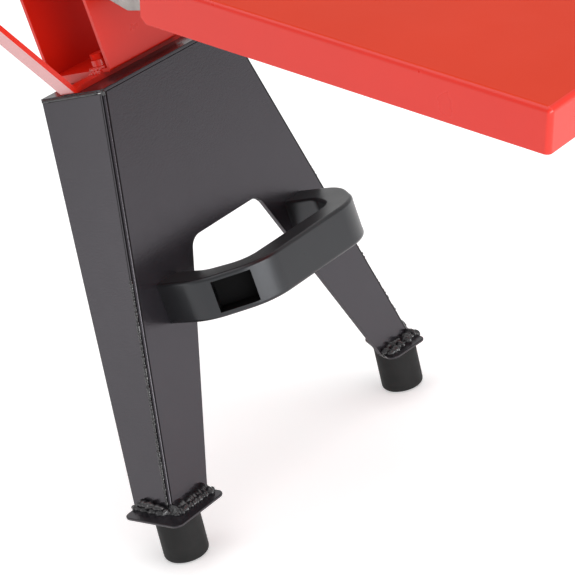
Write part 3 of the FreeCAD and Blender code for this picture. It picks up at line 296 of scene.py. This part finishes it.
def red_looks():
    """Red paint: the sheet itself, its welds, its edges (lighter: worn paint and a painted highlight), and
    three tones for single groups of faces: painted shade in the pedestal's channel and on its bolts, a pale
    pink painted reflection under the strap wings, and painted shade on the tray's top.
    """
    return {
        "red_paint": dict(dark=(0.61, 0.012, 0.002), light=(0.66, 0.015, 0.003), patch=9,
                          rough=(0.26, 0.32), bumps=ENAMEL_PEEL, specular=0.6),
        # lighter edges: worn paint, and partly a painted highlight
        "red_edge_wear_and_highlight": dict(dark=(0.66, 0.016, 0.004), light=(0.74, 0.030, 0.012), patch=70,
                         rough=(0.20, 0.30), bumps=ENAMEL_PEEL, coat=0.5, coat_rough=0.10),
        "red_weld": dict(dark=(0.50, 0.012, 0.004), light=(0.64, 0.02, 0.008), patch=120,
                         rough=(0.18, 0.32), bumps=RED_SLAG, coat=0.4),
        # darker, less glossy red: painted shade
        "red_painted_shade": dict(dark=(0.56, 0.008, 0.001), light=(0.62, 0.011, 0.002), patch=9,
                           rough=(0.50, 0.62), bumps=ENAMEL_PEEL, specular=0.12),
        # pale pink: painted reflection under the straps' raised ends
        "red_painted_reflection": dict(dark=(0.50, 0.11, 0.11), light=(0.54, 0.13, 0.13), patch=9, rough=(0.26, 0.34),
                          bumps=ENAMEL_PEEL, specular=1.0, coat=1.0, coat_rough=0.2, coat_ior=2.3),
        # a darker, less glossy copy of the red for upward faces: painted shade
        "red_top_painted_shade": dict(dark=(0.60, 0.030, 0.004), light=(0.64, 0.034, 0.006), patch=9,
                        rough=(0.30, 0.38), bumps=ENAMEL_PEEL, specular=0.14),
    }


def plastic_and_rubber_looks():
    return {
        # near black: painted shade inside the handle's screw pockets
        "pocket_painted_shade": dict(dark=(0.004, 0.004, 0.0044), light=(0.006, 0.006, 0.0064), patch=14,
                               rough=(0.60, 0.72), bumps=GRAIN, specular=0.08),
        "moulded_plastic": dict(dark=(0.007, 0.0072, 0.008), light=(0.010, 0.0102, 0.011), patch=14,
                                rough=(0.26, 0.34), bumps=GRAIN, specular=0.56, tint=(0.92, 0.95, 1.0)),
        "foot_rubber": dict(dark=(0.010, 0.010, 0.010), light=(0.017, 0.017, 0.017), patch=40,
                            rough=(0.55, 0.72), bumps=SLEEVE_GRAIN, specular=0.22),
        "tyre_rubber": dict(dark=(0.016, 0.016, 0.016), light=(0.030, 0.029, 0.028), patch=30,
                            rough=(0.68, 0.86), bumps=TYRE_GRAIN, specular=0.3,
                            specks=(240, (0.07, 0.065, 0.06), 0.66)),
    }


def metal_looks():
    return {
        "cast_iron": dict(dark=(0.27, 0.255, 0.245), light=(0.50, 0.48, 0.455), patch=60,
                          rough=(0.55, 0.78), bumps=SAND, specks=(420, (0.13, 0.09, 0.07), 0.70)),
        "cast_aluminium": dict(dark=(0.40, 0.41, 0.42), light=(0.56, 0.57, 0.58), patch=34,
                               rough=(0.42, 0.60), bumps=BLAST, metallic=0.75),
        "zinc_steel": dict(dark=(0.46, 0.47, 0.49), light=(0.64, 0.65, 0.66), patch=120,
                           rough=(0.26, 0.42), bumps=ZINC_GRAIN, metallic=0.95),
        "chromed_rod": dict(dark=(0.70, 0.71, 0.73), light=(0.78, 0.79, 0.80), patch=30,
                            rough=(0.05, 0.12), bumps=GROUND_FINISH, metallic=1.0, stretch=(1, 0.05, 1)),
        "rim_paint": dict(dark=(0.60, 0.60, 0.58), light=(0.70, 0.70, 0.68), patch=22,
                          rough=(0.30, 0.42), bumps=ENAMEL_PEEL, coat=0.2),
    }


def small_part_looks():
    return {
        "fan_plastic": dict(dark=(0.022, 0.022, 0.022), light=(0.034, 0.034, 0.034), patch=20,
                            rough=(0.42, 0.55), bumps=GRAIN),
        "green_button": dict(dark=(0.018, 0.26, 0.06), light=(0.03, 0.33, 0.08), patch=120,
                             rough=(0.18, 0.28), bumps=BUTTON_GRAIN),
        "red_button": dict(dark=(0.50, 0.014, 0.012), light=(0.60, 0.022, 0.018), patch=120,
                           rough=(0.18, 0.28), bumps=BUTTON_GRAIN),
    }


def make_materials():
    """One look for each material slot, and more for edges, welds and some groups of faces; the extra face tones
    and the black edges are painted shade and painted reflection, and the red edges are partly a painted
    highlight.
    """
    looks = {}
    for group in (black_looks, red_looks, plastic_and_rubber_looks, metal_looks, small_part_looks):
        for name, settings in group().items():
            looks[name] = surface(name, **settings)
    return looks


# ---------------------------------------------------------------- the leaning leg's own directions

def on_leg(x, back, up):
    """A point given in the leaning leg's own directions."""
    return Vector((x, LEG_TOP_Y + back * math.cos(LEAN) + up * math.sin(LEAN),
                   LEG_TOP_Z - back * math.sin(LEAN) + up * math.cos(LEAN)))


def leg_up(back, height):
    """How far up the leaning leg a point of that depth reaches a level height."""
    return (height - LEG_TOP_Z + back * math.sin(LEAN)) / math.cos(LEAN)


def outer_half(up):
    """Half the leg plate's width at a distance up the leg, which is negative below its top."""
    return LEG_TOP_HALF + LEG_FLARE * -up


def inner_half(up):
    """Half the width of the arch."""
    return ARCH_HALF + ARCH_FLARE * (-up - ARCH_TOP)


# ---------------------------------------------------------------- pieces from the CAD nodes

def link(name, mesh):
    made = bpy.data.objects.new(name, mesh)
    bpy.context.scene.collection.objects.link(made)
    return made


def cleaned(mesh):
    """A copy of a CAD mesh with its split corners joined and its flat faces merged."""
    work = bmesh.new()
    work.from_mesh(mesh)
    bmesh.ops.remove_doubles(work, verts=work.verts, dist=SAME_POINT)
    bmesh.ops.dissolve_limit(work, angle_limit=FLAT_ANGLE, verts=work.verts, edges=work.edges)
    copy = bpy.data.meshes.new(mesh.name + "_look")
    work.to_mesh(copy)
    work.free()
    return copy


def baked(piece):
    """Applies the piece's modifiers."""
    graph = bpy.context.evaluated_depsgraph_get()
    mesh = bpy.data.meshes.new_from_object(piece.evaluated_get(graph), depsgraph=graph)
    piece.modifiers.clear()
    piece.data = mesh


def soften(piece):
    piece.data.shade_smooth()
    piece.data.set_sharp_from_angle(angle=SHARP_ANGLE)
    weighted = piece.modifiers.new("even_normals", "WEIGHTED_NORMAL")
    weighted.keep_sharp = True


def dress(node, slot, bevel, edge):
    """A finished copy of a CAD node: edges rounded by real geometry, its own material, and an edge tone, which
    is painted shade on black paint and worn paint with a painted highlight on red paint.
    """
    mesh = cleaned(NODES[node].data)
    mesh.materials.clear()
    mesh.materials.append(LOOKS[slot])
    if edge:
        mesh.materials.append(LOOKS[edge])
    piece = link(node + ".look", mesh)
    for polygon in mesh.polygons:
        polygon.material_index = 0
    rounding = piece.modifiers.new("edges", "BEVEL")
    rounding.width = bevel
    rounding.segments = BEVEL_SEGMENTS
    rounding.limit_method = "ANGLE"
    rounding.angle_limit = BEVEL_ANGLE
    rounding.use_clamp_overlap = True
    if edge:
        rounding.material = 1
    baked(piece)
    soften(piece)
    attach(piece, NODES[node]["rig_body"])
    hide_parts(node)


# the edge look of each slot, and the edge rounding of each of its nodes
SKINS = {
    "black_paint": ("black_edge_painted_shade", {
        "leg_front_plate": 0.0010, "leg_side_plates": 0.0010, "leg_top_cap": 0.0008, "foot_plates": 0.0008,
        "rear_stand": 0.0010, "push_block": 0.0010, "motor_fan_cover": 0.0005, "oil_tank": 0.0008,
        "valve_body": 0.0010}),
    "red_paint": ("red_edge_wear_and_highlight", {
        "cradle_straps": 0.0009, "cradle_rails": 0.0010, "pedestal": 0.0008, "pedestal_bolts": 0.0006,
        "beam": 0.0014, "wedge_base": 0.0010, "outfeed_tray": 0.0007, "tray_brackets": 0.0008,
        "barrel_saddle": 0.0010, "front_head": 0.0015, "cylinder_barrel": 0.0010}),
    "moulded_plastic": (None, {
        "carry_handle": 0.0012, "lever_knob": 0.0008, "switch_box": 0.0014, "power_inlet": 0.0006,
        "filler_cap": 0.0010}),
    "foot_rubber": (None, {"foot_sleeves": 0.0008, "rod_wiper": 0.0003, "piston_seal": 0.0003}),
    "cast_iron": (None, {"wedge": 0.0008, "nose_casting": 0.0018, "push_face": 0.0006}),
    "cast_aluminium": (None, {"pump_block": 0.0022, "motor_housing": 0.0006, "motor_shields": 0.0010}),
    "zinc_steel": (None, {
        "handle_screws": 0.0005, "beam_bolts": 0.0006, "gib_bolts": 0.0005,
        "tie_rods": 0.0006, "axle": 0.0010, "axle_spacers": 0.0004, "hydraulic_pipes": 0.0004,
        "pipe_unions": 0.0006, "lever_pin": 0.0005, "bleed_screw": 0.0006, "slide_gibs": 0.0008,
        "stator": 0.0006, "motor_bearings": 0.0004, "rotor": 0.0006, "piston": 0.0006, "gland_cap": 0.0008,
        "control_lever": 0.0008, "valve_spool": 0.0005}),
    "chromed_rod": (None, {"piston_rod": 0.0008}),
    "rim_paint": (None, {"rim_left": 0.0010, "rim_right": 0.0010}),
    "fan_plastic": (None, {"cooling_fan": 0.0005}),
    "green_button": (None, {"start_button": 0.0005}),
    "red_button": (None, {"stop_button": 0.0005}),
}


# ---------------------------------------------------------------- groups of faces with a tone of their own, which is painted shade and painted reflection

def repaint(node, look, wanted):
    """Gives another look to the faces of a finished piece that wanted(centre, normal) picks."""
    mesh = bpy.data.objects[node + ".look"].data
    mesh.materials.append(LOOKS[look])
    for polygon in mesh.polygons:
        if wanted(polygon.center, polygon.normal):
            polygon.material_index = len(mesh.materials) - 1


CHANNEL_MIDDLE_UP, CHANNEL_REACH, SIDEWAYS = 0.060, 0.047, 0.5
PAINTED_DARK_LINE_TURNS = ((4, 26), (60, 84))
POCKET_DEPTHS, POCKET_HALF_WIDTH, POCKET_HALF_HEIGHT = (0.004, 0.027), 0.023, 0.019
FACES_UP, FACES_DOWN = 0.9, -0.2
WING_FROM = 0.10


def in_channel(centre, normal):
    """Faces of the pedestal that look into its channel, which get a darker red as painted shade."""
    middle = on_leg(0, PEDESTAL_MIDDLE, CHANNEL_MIDDLE_UP)
    level = on_leg(centre.x, PEDESTAL_MIDDLE, leg_up(PEDESTAL_MIDDLE, centre.z))
    near = (level - centre).length < CHANNEL_REACH
    inward = (middle - centre).dot(normal) > 0
    return near and inward and abs(normal.x) < SIDEWAYS


def in_painted_dark_line(centre, normal):
    """The two dark lines along the rounded outer edges of the leg plate: a painted dark reflection in near
    black.
    """
    turn = math.degrees(math.atan2(abs(normal.x), -normal.y))
    return any(start < turn < stop for start, stop in PAINTED_DARK_LINE_TURNS)


def in_pocket(centre, normal):
    """Faces inside the two screw pockets of the handle's slanted shoulders, which get near black plastic as
    painted shade.
    """
    run, fall = HANDLE_HALF - GRIP_HALF, GRIP_REACH - SHOULDER_REACH
    length = math.hypot(run, fall)
    y, z = centre.y - LEG_TOP_Y, centre.z - LEG_TOP_Z
    back = y * math.cos(LEAN) - z * math.sin(LEAN)
    up = y * math.sin(LEAN) + z * math.cos(LEAN)
    outward = abs(centre.x) - (HANDLE_HALF + GRIP_HALF) / 2
    inward = back + (SHOULDER_REACH + GRIP_REACH) / 2
    depth = (-outward * fall + inward * run) / length
    along = (outward * run + inward * fall) / length
    deep = POCKET_DEPTHS[0] < depth < POCKET_DEPTHS[1]
    return deep and abs(along) < POCKET_HALF_WIDTH and abs(up + HANDLE_MIDDLE_DOWN) < POCKET_HALF_HEIGHT


def everywhere(centre, normal):
    return True


# the tray's upward faces, which get a darker, less glossy red as painted shade
def on_tray_top(centre, normal):
    return normal.z > FACES_UP


def under_wing(centre, normal):
    """The under faces of the straps' raised ends, which get a pale pink painted reflection."""
    return normal.z < FACES_DOWN and abs(centre.x) > WING_FROM


# ---------------------------------------------------------------- tyres with tread

# the blocks round the tyre, the steps of the mesh round each block, and its steps across the tread
TREAD_BLOCKS, TURNS_PER_BLOCK, TREAD_STEPS = 34, 8, 28
GROOVE, GROOVE_SHARE, CHEVRON = 0.0032, 0.30, 26
TREAD_EDGE, CROWN, TREAD_BAND = 0.007, 0.0018, 0.0060
# the rib along the middle, which the cross grooves spare, and the groove that runs round beside it
CENTRE_RIB, RING_AT, RING_HALF = 0.004, 0.0075, 0.0014
# the side wall and shoulder, as distances in from the side and down from the tread
SIDE_WALL = [(0.003, 0.030), (0, 0.0245), (0, 0.019), (0.0006, 0.0185), (0.0006, 0.0165), (0, 0.016),
             (0, 0.0095), (0.0012, 0.0055), (0.0040, 0.0030)]


def tread_depth(turn, x):
    """How deep the tread is cut at a turn round the tyre and a place across it."""
    phase = (turn / TURNS_PER_BLOCK + abs(x) * CHEVRON + (0.5 if x > 0 else 0)) % 1
    in_cross = phase < GROOVE_SHARE and abs(x) > CENTRE_RIB
    in_ring = abs(abs(x) - RING_AT) < RING_HALF
    return GROOVE if in_cross or in_ring else 0.0


def make_tyre(node, side):
    """A solid tyre with a moulded block tread cut about 3 mm deep, and ribs round its side walls."""
    low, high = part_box(node)
    centre = (low + high) / 2
    radius = (high.z - low.z) / 2
    half = (high.x - low.x) / 2
    left = [(-half + inset, radius - drop) for inset, drop in SIDE_WALL]
    tread = []
    for step in range(TREAD_STEPS + 1):
        x = (-half + TREAD_EDGE) + step * 2 * (half - TREAD_EDGE) / TREAD_STEPS
        tread.append((x, radius - CROWN * (abs(x) / half) ** 3))
    profile = left + tread + [(-x, r) for x, r in left[::-1]]
    turns = TREAD_BLOCKS * TURNS_PER_BLOCK
    verts, faces = [], []
    for turn in range(turns):
        angle = 2 * math.pi * turn / turns
        for x, r in profile:
            depth = tread_depth(turn, x) if r > radius - TREAD_BAND else 0.0
            verts.append((centre.x + x, centre.y + (r - depth) * math.sin(angle),
                          centre.z + (r - depth) * math.cos(angle)))
    count = len(profile)
    for turn in range(turns):
        following = (turn + 1) % turns
        for index in range(count):
            after = (index + 1) % count
            faces.append((turn * count + index, turn * count + after, following * count + after,
                          following * count + index))
    mesh = bpy.data.meshes.new(node + "_tread")
    mesh.from_pydata(verts, [], faces)
    work = bmesh.new()
    work.from_mesh(mesh)
    bmesh.ops.recalc_face_normals(work, faces=work.faces)
    work.to_mesh(mesh)
    work.free()
    mesh.materials.append(LOOKS["tyre_rubber"])
    piece = link(node + ".tread", mesh)
    mesh.shade_smooth()
    mesh.set_sharp_from_angle(angle=TREAD_SHARP_ANGLE)
    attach(piece, "wheel_" + side)
    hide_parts(node)


# ---------------------------------------------------------------- weld beads

BEAD_STEP, BEAD_SIDES = 0.0009, 12
BEAD_REFERENCE = Vector((0.13, 0.21, 0.97))
# features per metre of the noises that shape a bead, from its wandering line down to its roughness
WANDER_SCALE, DRIFT_SCALE, BLOB_SCALE, ROUGH_SCALE = 90, 160, 420, 900
RIPPLE, ROUGHNESS, WANDER, CRESCENT = 0.14, 0.10, 0.25, 0.35
BEAD_WIDTH, BEAD_HEIGHT, BEAD_END = 1.12, 0.9, 0.35
BLACK_BEAD = {"look": "black_weld", "slot": "black_paint"}
RED_BEAD = {"look": "red_weld", "slot": "red_paint"}


def resampled(points):
    """Evenly spaced points along a polyline."""
    out = [Vector(points[0])]
    for start, stop in zip(points, points[1:]):
        start, stop = Vector(start), Vector(stop)
        count = max(2, round((stop - start).length / BEAD_STEP))
        out += [start.lerp(stop, index / count) for index in range(1, count + 1)]
    return out


def bead_size(point, travelled, to_end, radius, lumps, pitch, seed):
    """The bead's radius at a point: ripples, drift and blobs, thinner towards its ends."""
    ripple = 0.5 + 0.5 * math.cos(2 * math.pi * travelled / pitch)
    drift = noise.noise(point * DRIFT_SCALE + Vector((seed * 7.3, 0, 0)))
    blob = noise.noise(point * BLOB_SCALE + Vector((0, seed * 3.1, 0)))
    taper = min(1.0, BEAD_END + to_end / (radius * 0.9))
    return radius * taper * (1 - RIPPLE + RIPPLE * ripple + lumps * drift + lumps * 0.6 * blob)


def bead(name, points, radius, lumps, pitch, seed, look, slot):
    """A weld bead: overlapping crescents along a line, thicker and thinner as the hand moved."""
    path = resampled(points)
    verts, faces = [], []
    travelled = 0.0
    for index, point in enumerate(path):
        before = path[max(0, index - 1)]
        after = path[min(len(path) - 1, index + 1)]
        along = (after - before).normalized()
        across = along.cross(BEAD_REFERENCE).normalized()
        lift = across.cross(along).normalized()
        travelled += (point - before).length
        to_end = min(index, len(path) - 1 - index) * BEAD_STEP
        size = bead_size(point, travelled, to_end, radius, lumps, pitch, seed)
        wander = across * radius * WANDER * noise.noise(point * WANDER_SCALE + Vector((0, 0, seed)))
        for side in range(BEAD_SIDES):
            angle = 2 * math.pi * side / BEAD_SIDES
            crescent = along * (radius * CRESCENT * abs(math.cos(angle)))
            rough = 1 + ROUGHNESS * noise.noise(point * ROUGH_SCALE + Vector((side, seed, 0)))
            around = across * math.cos(angle) * BEAD_WIDTH + lift * math.sin(angle) * BEAD_HEIGHT
            verts.append(point + wander + crescent + around * size * rough)
    for ring in range(len(path) - 1):
        first, following = ring * BEAD_SIDES, (ring + 1) * BEAD_SIDES
        for side in range(BEAD_SIDES):
            after = (side + 1) % BEAD_SIDES
            faces.append((first + side, first + after, following + after, following + side))
    faces.append(tuple(range(BEAD_SIDES - 1, -1, -1)))
    faces.append(tuple((len(path) - 1) * BEAD_SIDES + side for side in range(BEAD_SIDES)))
    mesh = bpy.data.meshes.new(name)
    mesh.from_pydata(verts, [], faces)
    mesh.materials.append(LOOKS[look])
    mesh.shade_smooth()
    piece = link(name, mesh)
    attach(piece, "frame")


def circle(radius, steps):
    """Pairs of sizes round a circle. The last pair closes it."""
    turns = [2 * math.pi * index / steps for index in range(steps + 1)]
    return [(radius * math.cos(turn), radius * math.sin(turn)) for turn in turns]


def weld_foot(side, sign):
    """Heavy, lumpy welds between a leg's lower end and its foot plate."""
    back = 0.055
    front_up, back_up = leg_up(0, FOOT_TOP), leg_up(back, FOOT_TOP)
    outer, inner, outer_behind = outer_half(front_up), inner_half(front_up), outer_half(back_up)
    corner = on_leg(sign * (outer + 0.001), -0.001, front_up)
    rear = on_leg(sign * (outer_behind + 0.001), back, back_up)
    inside = on_leg(sign * (inner - 0.001), -0.001, front_up)
    bead(f"weld_foot_front_{side}", [inside, corner],
         radius=0.0076, lumps=0.60, pitch=0.008, seed=3 + sign, **BLACK_BEAD)
    bead(f"weld_foot_side_{side}", [corner, rear],
         radius=0.0068, lumps=0.60, pitch=0.008, seed=8 + sign, **BLACK_BEAD)
    behind = 0.005
    behind_up = leg_up(behind, FOOT_TOP)
    bead(f"weld_foot_inner_{side}",
         [on_leg(sign * inner, behind, behind_up), on_leg(sign * (outer - 0.005), behind, behind_up)],
         radius=0.0050, lumps=0.5, pitch=0.006, seed=12 + sign, **BLACK_BEAD)
    bead(f"weld_foot_fill_{side}", [inside + Vector((0, -0.009, 0)), corner + Vector((0, -0.006, 0))],
         radius=0.0060, lumps=0.8, pitch=0.009, seed=21 + sign, **BLACK_BEAD)
    bead(f"weld_foot_top_{side}",
         [on_leg(sign * (outer + 0.003), 0.006, front_up + 0.007),
          on_leg(sign * (outer_behind + 0.003), 0.042, back_up + 0.006)],
         radius=0.0046, lumps=0.8, pitch=0.007, seed=25 + sign, **BLACK_BEAD)


def weld_leg(side, sign):
    """The thin seam down the leg's corner, and the welds round its cap."""
    seam = [on_leg(sign * (outer_half(up) - 0.0004), 0.0052, up) for up in (-0.19, -0.27, -0.35, -0.425)]
    bead(f"weld_seam_{side}", seam, radius=0.0021, lumps=0.6, pitch=0.005, seed=5 + sign, **BLACK_BEAD)
    edge = sign * (LEG_TOP_HALF - 0.0008)
    bead(f"weld_top_corner_{side}", [on_leg(edge, 0.001, -0.004), on_leg(edge, 0.002, 0.004)],
         radius=0.0026, lumps=0.5, pitch=0.004, seed=9, **BLACK_BEAD)
    bead(f"weld_cap_side_{side}", [on_leg(edge, 0.010, 0.0010), on_leg(edge, 0.096, 0.0010)],
         radius=0.0024, lumps=0.3, pitch=0.004, seed=4, **BLACK_BEAD)


def wing_tip(sign, offset):
    """The line where a front strap's raised end meets the rail."""
    x = sign * (RAIL_X + offset)
    return [on_leg(x, back, leg_up(back, RAIL_WELD_Z)) for back in (STRAP_FRONT, STRAP_REAR)]


def weld_cradle(side, sign):
    """The welds of the two straps: to the pedestal, to the rail and to the beam."""
    x = sign * (PEDESTAL_HALF + 0.0005)
    bead(f"weld_pedestal_strap_{side}", [on_leg(x, STRAP_FRONT, 0.0105), on_leg(x, STRAP_REAR, 0.0105)],
         radius=0.0040, lumps=0.6, pitch=0.005, seed=6, **RED_BEAD)
    bead(f"weld_wing_rail_{side}", wing_tip(sign, -0.004),
         radius=0.0030, lumps=0.35, pitch=0.004, seed=2, **RED_BEAD)
    bead(f"weld_wing_rail_low_{side}", wing_tip(sign, 0.004),
         radius=0.0030, lumps=0.35, pitch=0.004, seed=7, **RED_BEAD)
    bead(f"weld_rear_strap_{side}",
         [(sign * BEAM_HALF, y - SHIFT, BEAM_LOW) for y in REAR_STRAP_YS],
         radius=0.0030, lumps=0.3, pitch=0.004, seed=11, **RED_BEAD)


def weld_stand(side, sign):
    """The welds inside the rear stand, along its top plate and round its brace."""
    x = sign * STAND_INSIDE
    bead(f"weld_stand_top_{side}",
         [(x, STAND_Y - STAND_HALF_DEPTH - SHIFT, STAND_CEILING),
          (x, STAND_Y + STAND_HALF_DEPTH - SHIFT, STAND_CEILING)],
         radius=0.0030, lumps=0.3, pitch=0.004, seed=13, **BLACK_BEAD)
    middle = Vector((x, STAND_Y - SHIFT, BRACE_Z))
    ring = [middle + Vector((0, y, z)) for y, z in circle(BRACE_RADIUS, 28)]
    bead(f"weld_brace_{side}", ring, radius=0.0026, lumps=0.3, pitch=0.004, seed=14, **BLACK_BEAD)


def weld_beam(side, sign):
    """The welds on the beam, round the wedge and at the end plate, and those round a pedestal boss."""
    bead(f"weld_wedge_{side}",
         [(sign * WEDGE_HALF, WEDGE_FRONT - SHIFT, WEDGE_FOOT),
          (sign * WEDGE_HALF, WEDGE_TAPER - SHIFT, WEDGE_FOOT),
          (sign * 0.002, WEDGE_EDGE - SHIFT, WEDGE_FOOT)],
         radius=0.0034, lumps=0.3, pitch=0.0045, seed=15, **RED_BEAD)
    end_y = END_PLATE_Y - SHIFT
    bead(f"weld_end_plate_{side}", [(sign * 0.006, end_y, BEAM_TOP), (sign * BEAM_HALF, end_y, BEAM_TOP)],
         radius=0.0028, lumps=0.3, pitch=0.004, seed=16, **RED_BEAD)
    ring = [on_leg(sign * PEDESTAL_BOLT_X + x, PEDESTAL_BOLT_BACK + back, 0.0145)
            for x, back in circle(0.0105, 16)]
    bead(f"weld_boss_{side}", ring, radius=0.0038, lumps=0.6, pitch=0.006, seed=30 + sign, **RED_BEAD)


def make_welds():
    for side, sign in (("left", -1), ("right", 1)):
        for weld in (weld_foot, weld_leg, weld_cradle, weld_stand, weld_beam):
            weld(side, sign)
    for side, back in (("front", PEDESTAL_FRONT - 0.0002), ("rear", PEDESTAL_REAR + 0.0002)):
        up = leg_up(back, BEAM_LOW) - 0.001
        bead(f"weld_pedestal_{side}", [on_leg(-BEAM_HALF, back, up), on_leg(BEAM_HALF, back, up)],
             radius=0.0030, lumps=0.35, pitch=0.0045, seed=17, **RED_BEAD)
    for side, y in SADDLE_YS.items():
        bead(f"weld_saddle_{side}", [(-0.030, y - SHIFT, BEAM_TOP), (0.030, y - SHIFT, BEAM_TOP)],
             radius=0.0030, lumps=0.3, pitch=0.0045, seed=18, **RED_BEAD)


LOOKS = make_materials()
make_camera()
make_studio()
make_floor()
for slot, (edge, nodes) in SKINS.items():
    for node, bevel in nodes.items():
        dress(node, slot, bevel, edge)
# painted shade: a darker, less glossy red inside the pedestal's channel and over the red-painted pedestal bolts
repaint("pedestal", "red_painted_shade", in_channel)
repaint("pedestal_bolts", "red_painted_shade", everywhere)
# painted shade: near black inside the handle's screw pockets
repaint("carry_handle", "pocket_painted_shade", in_pocket)
# painted dark reflection: two near black lines along the leg plate's rounded edges
repaint("leg_front_plate", "black_painted_dark_reflection", in_painted_dark_line)
# painted shade: a darker, less glossy red on the tray's top
repaint("outfeed_tray", "red_top_painted_shade", on_tray_top)
# painted reflection: pale pink under the straps' raised ends
repaint("cradle_straps", "red_painted_reflection", under_wing)
make_tyre("tyre_left", "left")
make_tyre("tyre_right", "right")
make_welds()
